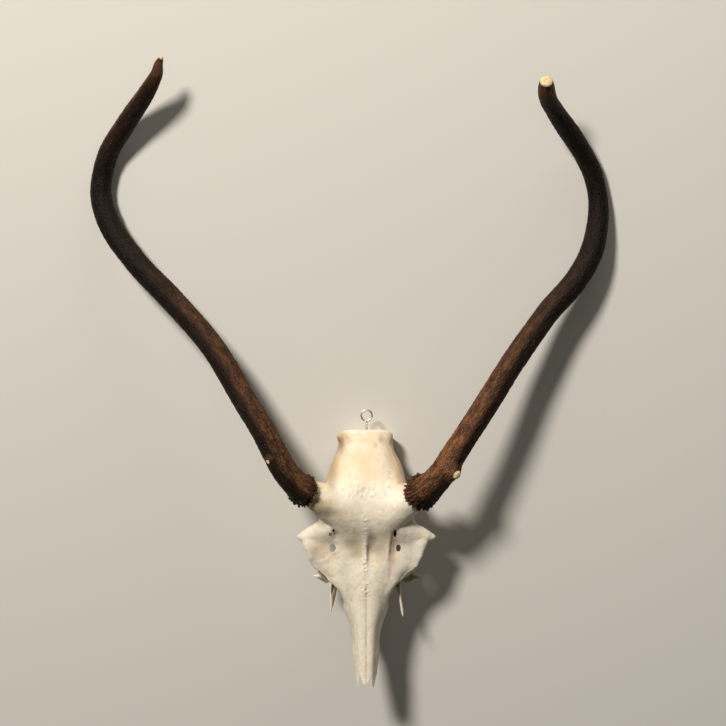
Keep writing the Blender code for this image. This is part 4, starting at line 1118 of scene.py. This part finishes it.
# Radius of the burr under its knobs, and how the beam's foot swells out to it
BURR_RADIUS = {-1: 17.2, 1: 19.6}
BURR_SWELL = [(0, 1.0), (5, 0.96), (8, 0.80), (12, 0.48), (18, 0.18), (27, 0.0)]
BURR_UNDERSIDE = [(0.0, 0.90), (0.8, 0.97), (1.8, 1.0)]
# Rows of knobs on the burr: height, pitch, knob radius, how far they stand out; those at the rim
# hang down over the pedicle
BURR_KNOBS = [
    (1.8, 4.6, 2.0, 3.8), (5.0, 4.6, 1.9, 2.6), (7.9, 4.3, 1.6, 1.5), (10.6, 4.0, 1.3, 0.9),
    (13.2, 3.5, 1.1, 0.6),
]
BURR_DROOP, BURR_DROOP_FROM, BURR_DROOP_HEIGHT = 0.45, 17.0, 7.0
BURR_JITTER, BURR_KNOB_ROUNDNESS = 0.36, 0.65
# Spacing of the stations along an antler: distance from the burr, and gap to the next
STATION_GAPS = [(0, 0.45), (15, 0.5), (20, 0.82), (260, 0.9), (380, 1.25), (900, 1.5)]
# Vein furrows: depth, width and length, and the share of the depth at each distance from the burr
FURROW_DEPTH, FURROW_ACROSS, FURROW_ALONG = 0.30, 7.5, 45.0
FURROW_SHARE = [(0, 1.6), (70, 1.0), (220, 0.6), (420, 0.5)]
FURROW_NARROWNESS, BETWEEN_FURROWS = 0.16, 0.12
# Finer relief, and the slow swelling of the beam: height, width and length
FINE_RELIEF, FINE_ACROSS, FINE_ALONG = 0.16, 2.0, 8.0
SWELLING, SWELLING_ACROSS, SWELLING_ALONG = 0.8, 22.0, 60.0
# Where the beam's relief sets in over the burr, and how deep the skin lies between the knobs
RELIEF_FROM, RELIEF_FADE, BETWEEN_KNOBS = 6.0, 9.0, 0.55
# Pearls: rows round the beam, pitch, and where they start and end; how thick they stand and how
# large they are at each distance from the burr
PEARL_ROWS, PEARL_PITCH, PEARLS_FROM, PEARLS_SHORT_OF_TIP = 37, 2.3, 12.0, 25.0
PEARL_JITTER, PEARL_ROUNDNESS = 0.45, 0.6
PEARL_THICKNESS = [(0, 1.0), (60, 0.95), (200, 0.85), (420, 0.7), (600, 0.5)]
PEARL_SIZE = [(0, 1.15), (100, 1.0), (400, 0.9)]
# Rings that close the foot, as shares of its radius, and steps of the dome on the tip
FOOT_RINGS, TIP_DOME_STEPS = (0.04, 0.3, 0.55, 0.78, 0.93), 8
FLOOR_SOFTNESS = 0.35

# Each beam: x, y, z of its middle and its radius, from the burr to the tip
BEAMS = {
    -1: [
        (-73, 233.5, 93, 15.3), (-80, 241.5, 100, 15.3), (-90.5, 254, 105, 14.8),
        (-102, 275, 107.5, 14.2), (-116, 301.5, 108.5, 13.6), (-133.5, 329, 108, 13.4),
        (-171, 392, 106, 13.6), (-217, 446, 103, 13.3), (-260.5, 492, 101, 13.3),
        (-292.5, 540.5, 99.5, 12.6), (-299.5, 570, 101.5, 11.8), (-297, 590.5, 106.5, 11.4),
        (-290.5, 610, 115, 11.1), (-266.5, 644, 138, 10.7), (-241, 674.5, 166, 9.3),
        (-233, 685.5, 177, 7.9), (-227.8, 694, 185.5, 6.5), (-226.2, 700.3, 190.5, 5.2),
        (-224.6, 704, 193.5, 4.2), (-222.6, 707, 196, 2.7), (-221.2, 709.2, 198, 0.9),
    ],
    1: [
        (65.5, 231.5, 93, 15.4), (72.5, 237.5, 99, 15.5), (86, 252.5, 105, 15.0),
        (97.5, 271.5, 107.5, 14.5), (112, 294, 108.5, 13.8), (127.5, 318, 108, 13.5),
        (176.5, 393.5, 104, 13.3), (204, 431.5, 101, 13.1), (240, 474, 98, 13.1),
        (253, 497.5, 97, 12.9), (260, 521, 96, 12.3), (263, 550, 96.5, 11.5),
        (261.5, 567, 99, 11.0), (256, 588.5, 106, 10.9), (245.5, 608, 118, 10.9),
        (233, 625, 132, 11.0), (220, 640, 149, 10.9), (207, 654, 171, 10.0),
        (197.5, 663.5, 194, 9.4), (194.5, 670, 208, 9.4), (193.3, 676.5, 218.5, 8.1),
        (192.9, 679.4, 223.5, 6.5),
    ],
}
# Brow tine stubs: point, radius of its end, how far it stands out, width of its foot, polished share
STUBS = {
    -1: (Vector((-108.0, 267.6, 117.6)), 2.1, 4.6, 9.0, 0.95),
    1: (Vector((101.7, 251.6, 120.2)), 5.0, 8.0, 16.0, 1.0),
}
# Share of the stub that is its end, how domed that is, how the foot flares, which skin of the beam
# belongs to the stub, as height over the beam's middle and reach from it, and how light the stub is
STUB_END_SHARE, STUB_DOME, STUB_FLARE = 0.3, 0.45, 1.9
STUB_SKIN_FROM, STUB_SKIN_REACH = 4.0, 40.0
STUB_LIGHTNESS = {-1: 0.25, 1: 0.70}
# Bare ends: how far back from the tip the rubbing and the pale bone reach
TIP_POLISH = {-1: (40.0, 4.2), 1: (26.0, 2.4)}
# How light each beam is along its length: distance from the burr, lightness
LIGHTNESS = {
    -1: [(0, 0.36), (20, 0.42), (116, 0.48), (189, 0.42), (260, 0.26), (323, 0.08), (382, 0.03),
         (433, 0.16), (502, 0.56), (577, 0.70)],
    1: [(0, 0.55), (16, 0.65), (32, 0.90), (80, 0.92), (107, 0.75), (197, 0.46), (244, 0.26),
        (300, 0.10), (350, 0.04), (420, 0.05), (500, 0.12), (560, 0.24)],
}
# Painted shade on one side of each beam, which is partly also a side that the rubbing never reached: how
# far it is
# turned outwards from the nose and how far round it reaches at each distance from the burr, how much
# darker, how softly
UNDERSIDE_TURN = [(0, 0.75), (220, 0.75), (340, 0.2), (900, 0.0)]
UNDERSIDE_REACH = [(0, 0.22), (110, 0.25), (200, 0.40), (900, 0.45)]
UNDERSIDE_DARKNESS, UNDERSIDE_SOFT = 0.90, 0.65


def stations_along(length):
    """Where the rings of an antler stand, as distances from the burr."""
    places, at = [], 0.0
    while at < length:
        places.append(at)
        at += read_off(STATION_GAPS, at)
    return np.array(places)


def raise_bumps(height, at, radius, bumps, roundness):
    """Raise bumps on an unrolled skin: angle, place along, half width, half length, rise."""
    angle = np.linspace(0.0, 2 * math.pi, height.shape[1], endpoint=False)
    for turn, place, wide, long, rise in bumps:
        first, last = np.searchsorted(at, (place - long, place + long))
        across = (angle - turn + math.pi) % (2 * math.pi) - math.pi
        sideways = across * radius[first:last, None] / wide
        lengthways = (at[first:last, None] - place) / long
        bump = rise * np.maximum(1.0 - sideways ** 2 - lengthways ** 2, 0.0) ** roundness
        height[first:last] = np.maximum(height[first:last], bump)


def burr_knobs(side, rng):
    """The ragged rows of knobs round the burr."""
    knobs = []
    for place, pitch, size, rise in BURR_KNOBS:
        count = round(2 * math.pi * BURR_RADIUS[side] / pitch)
        start = rng.uniform(0.0, 1.0)
        for number in range(count):
            turn = (number + start + rng.uniform(-BURR_JITTER, BURR_JITTER)) * 2 * math.pi / count
            swell = rng.uniform(0.6, 1.3)
            knobs.append((turn, place + rng.uniform(-0.7, 0.7), size * swell,
                          size * swell * rng.uniform(0.85, 1.3), rise * rng.uniform(0.6, 1.15)))
    return knobs


def pearl_rows(side, length, rng):
    """Small pearls in wandering rows, thick near the burr and finer higher up."""
    pearls = []
    for row in range(PEARL_ROWS):
        place = PEARLS_FROM + rng.uniform(0.0, 3.0)
        while place < length - PEARLS_SHORT_OF_TIP:
            thick = read_off(PEARL_THICKNESS, place)
            patch = noise.noise((row * 0.45, place / 30.0, 11.0 + side))
            if rng.uniform() < thick * (0.9 + 0.7 * patch):
                wander = 0.35 * noise.noise((row * 0.3, place / 55.0, 3.0 * side))
                turn = (row + rng.uniform(-PEARL_JITTER, PEARL_JITTER)) * 2 * math.pi / PEARL_ROWS
                turn += wander + 0.0011 * side * place
                size = rng.uniform(0.7, 1.15) * read_off(PEARL_SIZE, place)
                pearls.append((turn, place, size, size * rng.uniform(1.0, 1.5),
                               rng.uniform(0.25, 0.70) * (0.5 + 0.5 * thick)))
            place += PEARL_PITCH * rng.uniform(0.7, 1.3)
    return pearls


def antler_skin(side, rng):
    """The middle line, and the skin unrolled: radius, relief and place of each point."""
    centre, axis = BURRS[side]
    foot = centre + axis * BURR_GAP
    foot_radius = BEAMS[side][0][3]
    line = [(*foot, foot_radius), (*(foot + axis * BEAM_START), foot_radius)] + BEAMS[side]
    line = np.array(line, float)
    knots = distances_along(line)
    length = knots[-1]
    at = stations_along(length)
    route = spline(knots, line, at)
    radius = route[:, 3] + (BURR_RADIUS[side] - route[:, 3]) * read_off(BURR_SWELL, at)
    radius *= read_off(BURR_UNDERSIDE, at)

    angle = np.linspace(0.0, 2 * math.pi, ANTLER_AROUND, endpoint=False)
    smooth_end = TIP_POLISH[side][0]
    rough = fade_in(length - at, 0.15 * smooth_end, smooth_end)
    rough = (0.25 + 0.75 * eased(rough))[:, None]
    unrolled = np.dstack([np.cos(angle)[None, :] * radius[:, None],
                          np.sin(angle)[None, :] * radius[:, None],
                          np.repeat(at[:, None], ANTLER_AROUND, 1)])

    def waves(across, along, seed):
        """Smooth noise on the unrolled skin, drawn out along the beam."""
        stretched = unrolled.reshape(-1, 3) / (across, across, along)
        return lumps(stretched, 1.0, seed + side).reshape(unrolled.shape[:2])

    veins = waves(FURROW_ACROSS, FURROW_ALONG, 40.0)
    swell = SWELLING * waves(SWELLING_ACROSS, SWELLING_ALONG, 10.0)
    depth = FURROW_DEPTH * read_off(FURROW_SHARE, at)[:, None]
    furrows = BETWEEN_FURROWS * veins - depth * np.exp(-(veins / FURROW_NARROWNESS) ** 2)
    furrows += FINE_RELIEF * waves(FINE_ACROSS, FINE_ALONG, 70.0)
    pearls, knobs = np.zeros(veins.shape), np.zeros(veins.shape)
    raise_bumps(pearls, at, radius, pearl_rows(side, length, rng), PEARL_ROUNDNESS)
    raise_bumps(knobs, at, radius, burr_knobs(side, rng), BURR_KNOB_ROUNDNESS)
    above_burr = fade_in(at, RELIEF_FROM, RELIEF_FADE)[:, None]
    relief = (furrows + pearls) * rough * above_burr + knobs - BETWEEN_KNOBS * (1.0 - above_burr)
    on_burr = fade_in(at, PEARLS_FROM + 1.0, -5.0)[:, None]
    height = relief + on_burr * (np.minimum(0.42 * knobs - 0.75, 0.6) - relief)
    return route, at, length, radius[:, None] + relief + swell * rough, height, unrolled


def pull_out_stub(points, side, near_line):
    """Draw the stub of the brow tine out of the beam's skin."""
    tip, end_radius, stands_out, foot_width, polished = STUBS[side]
    tip = np.array(tip)
    middle = near_line[np.argmin(np.linalg.norm(near_line - tip, axis=1))]
    axis = (tip - middle) / np.linalg.norm(tip - middle)
    offset = points - middle
    height = offset @ axis
    out = offset - height[:, None] * axis
    gap = np.linalg.norm(out, axis=1)
    near = (gap < foot_width) & (height > STUB_SKIN_FROM)
    near &= np.linalg.norm(offset, axis=1) < STUB_SKIN_REACH
    t = gap[near] / foot_width
    top = np.median(height[near][t < 0.5]) + stands_out
    dome = STUB_DOME * end_radius
    lean = np.minimum(t / STUB_END_SHARE, 1.0) * math.pi / 2
    wall = fade_in(t, STUB_END_SHARE, 1 - STUB_END_SHARE)
    flare = height[near] + (top - dome - height[near]) * (1 - wall) ** STUB_FLARE
    on_end = t < STUB_END_SHARE
    rise = np.where(on_end, top - dome * (1 - np.cos(lean)), flare)
    width = np.where(on_end, end_radius * np.sin(lean), end_radius + (foot_width - end_radius) * wall)
    direction = out[near] / np.maximum(gap[near], 1e-6)[:, None]
    points[near] = middle + axis * rise[:, None] + direction * width[:, None]
    bare, cone = np.zeros(len(points)), np.zeros(len(points))
    bare[near] = np.clip((polished * STUB_END_SHARE - t) / 0.08 + 0.5, 0.0, 1.0)
    cone[near] = np.clip((1.0 - t) * 2.5, 0.0, 1.0)
    return bare, cone


def grow_antler(name, side):
    """The mesh of one antler, with the marks that its finish reads."""
    rng = np.random.default_rng(31 + side)
    route, at, length, skin_radius, relief, unrolled = antler_skin(side, rng)
    line = route[:, :3]
    along, across, other = frames_along(line)
    turn = all_round(across, other, ANTLER_AROUND)
    droop = BURR_DROOP * np.maximum(skin_radius - BURR_DROOP_FROM, 0.0)
    droop *= fade_in(at, BURR_DROOP_HEIGHT, -BURR_DROOP_HEIGHT)[:, None]
    rings = line[:, None] + turn * skin_radius[:, :, None] - along[:, None] * droop[:, :, None]
    foot_rings = [line[0, None] + turn[0] * skin_radius[0][:, None] * share for share in FOOT_RINGS]
    lean = np.arange(1, TIP_DOME_STEPS) / TIP_DOME_STEPS * math.pi / 2
    dome_height = 0.5 * skin_radius[-1].mean()
    dome_rings = [line[-1, None] + along[-1] * dome_height * math.sin(a)
                  + turn[-1] * skin_radius[-1][:, None] * math.cos(a) for a in lean]
    before, after = len(foot_rings), len(dome_rings)
    points, faces = skin_over(np.concatenate([foot_rings, rings, dome_rings]))
    bare_stub, cone = pull_out_stub(points, side, line)
    upwards = np.array(head.to_3x3().inverted().col[2])
    off_floor = points @ upwards + head.translation.z / MM
    lifted = FLOOR_SOFTNESS * np.logaddexp(0.0, off_floor / FLOOR_SOFTNESS)
    points += (lifted - off_floor)[:, None] * upwards
    mesh = to_mesh(name, [(points, faces)])

    def over_ends(values):
        """Carry values on over the rings that close the foot and the tip."""
        return np.pad(values, ((before, after),) + ((0, 0),) * (values.ndim - 1), mode="edge")

    left = over_ends(length - at)
    left[-after:] = 0.0
    rubbed, pale = (np.repeat(fade_in(left, far, -far), ANTLER_AROUND) for far in TIP_POLISH[side])
    # The darker side of each beam: partly a side the rubbing never reached, partly painted shade
    turned = read_off(UNDERSIDE_TURN, at)[:, None]
    away = turn[:, :, 0] * side * turned - turn[:, :, 1] * np.sqrt(1.0 - turned ** 2)
    away = over_ends(away + read_off(UNDERSIDE_REACH, at)[:, None])
    lightness = over_ends(read_off(LIGHTNESS[side], at))[:, None]
    lightness = lightness * (1.0 - UNDERSIDE_DARKNESS * eased(fade_in(away, 0.0, UNDERSIDE_SOFT)))
    note(mesh, "spot", points)
    note(mesh, "relief", over_ends(relief).ravel())
    note(mesh, "pale", np.maximum(pale, bare_stub))
    note(mesh, "rub", rubbed)
    note(mesh, "lightness", np.maximum(lightness.ravel(), STUB_LIGHTNESS[side] * cone))
    note(mesh, "unrolled", over_ends(unrolled).reshape(-1, 3))
    return mesh


def dark_antler():
    """Antler as rubbed on bark: black-brown in the pits, red-brown where it stands out, darker on one
    side in painted shade.
    """
    material, tree, shader = new_finish("dark_antler")
    place = kept(tree, "unrolled").outputs["Vector"]
    streaks = speckle(tree, place, 0.85, 6.0, 0.66, (1.0, 1.0, 0.28))
    grain = speckle(tree, place, 1.9, 5.0, 0.65, (1.0, 1.0, 0.7))
    cloud = speckle(tree, place, 0.05, 4.0, 0.5, (1.0, 1.0, 0.5))
    patches = speckle(tree, place, 0.16, 5.0, 0.6, (1.0, 1.0, 0.5))
    granules = cells(tree, place, 0.55, randomness=0.9)
    worn = reach(tree, kept(tree, "relief").outputs["Fac"], -0.75, 0.60, 0.02, 0.66)
    for pattern, low, high, least, most in (
            (streaks, 0.32, 0.68, -0.20, 0.20), (granules, 0.10, 0.75, 0.14, -0.14),
            (cloud, 0.30, 0.70, -0.10, 0.10), (patches, 0.34, 0.66, -0.20, 0.17)):
        worn = total(tree, worn, reach(tree, pattern, low, high, least, most))
    dark = ramp(tree, worn, (0.0, (0.0030, 0.0018, 0.0012)), (0.5, (0.0065, 0.0036, 0.0021)),
                (1.0, (0.030, 0.014, 0.007)))
    red = ramp(tree, worn, (0.02, (0.030, 0.012, 0.005)), (0.40, (0.150, 0.061, 0.024)),
               (0.72, (0.275, 0.116, 0.048)), (1.0, (0.410, 0.215, 0.118)))
    colour = tint(tree, dark, red, kept(tree, "lightness").outputs["Fac"])
    rubbed = product(tree, kept(tree, "rub").outputs["Fac"],
                     reach(tree, patches, 0.4, 0.6, 0.15, 1.0))
    colour = tint(tree, colour, (0.22, 0.100, 0.040), product(tree, rubbed, 0.6))
    ragged = total(tree, kept(tree, "pale").outputs["Fac"], reach(tree, grain, 0.3, 0.7, -0.12, 0.12))
    freckles = speckle(tree, kept(tree, "spot").outputs["Vector"], 0.35, 3.0)
    bone = ramp(tree, freckles, (0.35, (0.56, 0.40, 0.19)), (0.6, (0.76, 0.60, 0.37)))
    colour = tint(tree, colour, bone, reach(tree, ragged, 0.30, 0.60))
    shader.inputs["Specular IOR Level"].default_value = 0.13
    height = weighted(tree, (streaks, 0.5), (grain, 0.35),
                      (reach(tree, granules, 0.0, 0.8, 0.8, 0.0), 1.0))
    roughness = reach(tree, grain, 0.3, 0.75, 0.42, 0.66)
    surface(tree, shader, colour, roughness, height, 0.8, 0.0009)
    return material


antler_finish = dark_antler()
finish_piece("dark_left_antler", grow_antler("left", -1), antler_finish, "left_antler")
finish_piece("dark_right_antler", grow_antler("right", 1), antler_finish, "right_antler")


# Screw eye
# The bright steel eye in the nuchal crest that the head hangs by: 2 mm wire with a rolled thread
# on its shank, bent round into a ring that doesn't quite close.
EYE_RING_RADIUS, EYE_WIRE_RADIUS = 6.3, 1.0
EYE_SHANK_END_Y, EYE_POINT_LENGTH, EYE_PLAIN_SHANK, EYE_NECK = 284.0, 3.0, 2.4, 0.9
EYE_RING_START, EYE_RING_TURN = math.radians(-84.0), math.radians(332.0)
EYE_SHANK_STEP, EYE_RING_POINTS, EYE_AROUND = 0.16, 150, 24
# The bend from the shank into the ring: points on each side of it, and rounds of smoothing
BEND_POINTS, BEND_ROUNDS = 12, 12
# Thread: radius over its crests, pitch, how deep the core is cut, and where a tooth rises
THREAD_RADIUS, THREAD_PITCH, THREAD_CUT, THREAD_RUNOUT = 1.38, 2.2, 0.12, 1.2
THREAD_TOOTH_FROM, THREAD_TOOTH_RISE = 0.25, 0.6


def bent_wire():
    """The wire's skin: a threaded shank, a short plain neck, then the ring."""
    x, y, z = SCREW_SPOT
    foot = y - EYE_RING_RADIUS
    shank = [(x, place, z) for place in np.arange(EYE_SHANK_END_Y, foot - EYE_NECK, EYE_SHANK_STEP)]
    turns = np.linspace(EYE_RING_START, EYE_RING_START + EYE_RING_TURN, EYE_RING_POINTS)
    ring = [(x + EYE_RING_RADIUS * math.cos(a), y + EYE_RING_RADIUS * math.sin(a), z) for a in turns]
    route = np.array(shank + ring)
    in_bend = window(np.arange(1, len(route) - 1), len(shank) - BEND_POINTS,
                     len(shank) + BEND_POINTS, 1.0)[:, None]
    for _ in range(BEND_ROUNDS):
        route[1:-1] += 0.5 * ((route[:-2] + route[2:]) / 2 - route[1:-1]) * in_bend
    _, side, other = frames_along(route)
    angle = np.linspace(0.0, 2 * math.pi, EYE_AROUND, endpoint=False)
    along = route[:, 1]
    on_shank = np.arange(len(route)) < len(shank)
    phase = (along[:, None] - EYE_SHANK_END_Y) / THREAD_PITCH - angle[None, :] / (2 * math.pi)
    tooth = fade_in(np.abs((phase % 1.0) - 0.5) * 2.0, THREAD_TOOTH_FROM, THREAD_TOOTH_RISE)
    threaded = on_shank * fade_in(along, foot - EYE_PLAIN_SHANK, -THREAD_RUNOUT)
    core = EYE_WIRE_RADIUS - THREAD_CUT * threaded[:, None]
    radius = core + (THREAD_RADIUS - core) * tooth * threaded[:, None]
    point = np.clip((along - EYE_SHANK_END_Y) / EYE_POINT_LENGTH, 0.12, 1.0)
    blunt_end = np.clip(np.arange(len(route))[::-1] / 3.0, 0.35, 1.0)
    radius *= (np.where(on_shank, point, 1.0) * blunt_end)[:, None]
    skin = route[:, None] + all_round(side, other, EYE_AROUND) * radius[:, :, None]
    return to_mesh("eye", [skin_over(skin)])


def bright_steel():
    """Zinc-bright steel wire with faint drawing marks."""
    material, tree, shader = new_finish("bright_steel")
    shader.inputs["Metallic"].default_value = 1.0
    spot = kept(tree, "spot").outputs["Vector"]
    dull = speckle(tree, spot, 1.4, 4.0)
    colour = ramp(tree, dull, (0.35, (0.42, 0.41, 0.39)), (0.6, (0.66, 0.66, 0.65)))
    surface(tree, shader, colour, reach(tree, dull, 0.3, 0.7, 0.18, 0.36),
            speckle(tree, spot, 4.0), 0.2, 0.0002)
    return material


eye_mesh = bent_wire()
note(eye_mesh, "spot", mesh_arrays(eye_mesh)[0])
finish_piece("steel_screw_eye", eye_mesh, bright_steel(), "screw_eye")


# Floor, camera and light
# A plain pale floor under the head, and a camera that looks straight down on the roof of the skull
# as in the photo. A strong lamp stands high beyond the left antler, a weak one low beyond the tips
# and a weaker one overhead.
LENS, SENSOR, NEAREST = 102.6, 36.0, 0.05
CAMERA_SPOT = (-3.5, 377.0, 2440.0)
AIM_SPOT = (0.0, 300.0, 60.0)
FLOOR_SIZE, FLOOR_COLOUR, FLOOR_ROUGHNESS = 24.0, (0.62, 0.60, 0.56, 1.0), 0.9
SKY_COLOUR, SKY_STRENGTH = (1.0, 0.95, 0.82, 1.0), 0.075
# Lamps: name, spot on the head's axes, power in watts, width, colour
LAMPS = [
    ("key_lamp", (-1275.0, 1950.0, 3420.0), 186.0, 0.60, (1.0, 0.95, 0.87)),
    ("top_lamp", (460.0, 2350.0, 1100.0), 13.0, 1.20, (1.0, 0.955, 0.88)),
    ("fill_lamp", (250.0, 250.0, 2900.0), 3.0, 1.6, (1.0, 0.97, 0.90)),
]

floor_mesh = bpy.data.meshes.new("floor")
half = FLOOR_SIZE / 2
floor_mesh.from_pydata([(-half, -half, 0), (half, -half, 0), (half, half, 0), (-half, half, 0)], [],
                       [(0, 1, 2, 3)])
floor = show("floor", floor_mesh)
paper, _, paper_shader = new_finish("pale_paper")
paper_shader.inputs["Base Color"].default_value = FLOOR_COLOUR
paper_shader.inputs["Roughness"].default_value = FLOOR_ROUGHNESS
floor_mesh.materials.append(paper)

camera_data = bpy.data.cameras.new("camera")
camera_data.lens = LENS
camera_data.sensor_width = SENSOR
camera_data.clip_start = NEAREST
camera = bpy.data.objects.new("camera", camera_data)
camera.matrix_world = head @ Matrix.Translation(Vector(CAMERA_SPOT) * MM)
bpy.context.scene.collection.objects.link(camera)
bpy.context.scene.camera = camera

for name, spot, power, width, colour in LAMPS:
    lamp_data = bpy.data.lights.new(name, "AREA")
    lamp_data.shape = "DISK"
    lamp_data.size = width
    lamp_data.energy = power
    lamp_data.color = colour
    lamp = bpy.data.objects.new(name, lamp_data)
    lamp.location = head @ (Vector(spot) * MM)
    aim = head @ (Vector(AIM_SPOT) * MM) - lamp.location
    lamp.rotation_euler = aim.to_track_quat("-Z", "Y").to_euler()
    bpy.context.scene.collection.objects.link(lamp)

world = bpy.data.worlds.new("studio")
world.use_nodes = True
sky = world.node_tree.nodes["Background"]
sky.inputs["Color"].default_value = SKY_COLOUR
sky.inputs["Strength"].default_value = SKY_STRENGTH
bpy.context.scene.world = world
bpy.context.scene.view_settings.view_transform = "Standard"
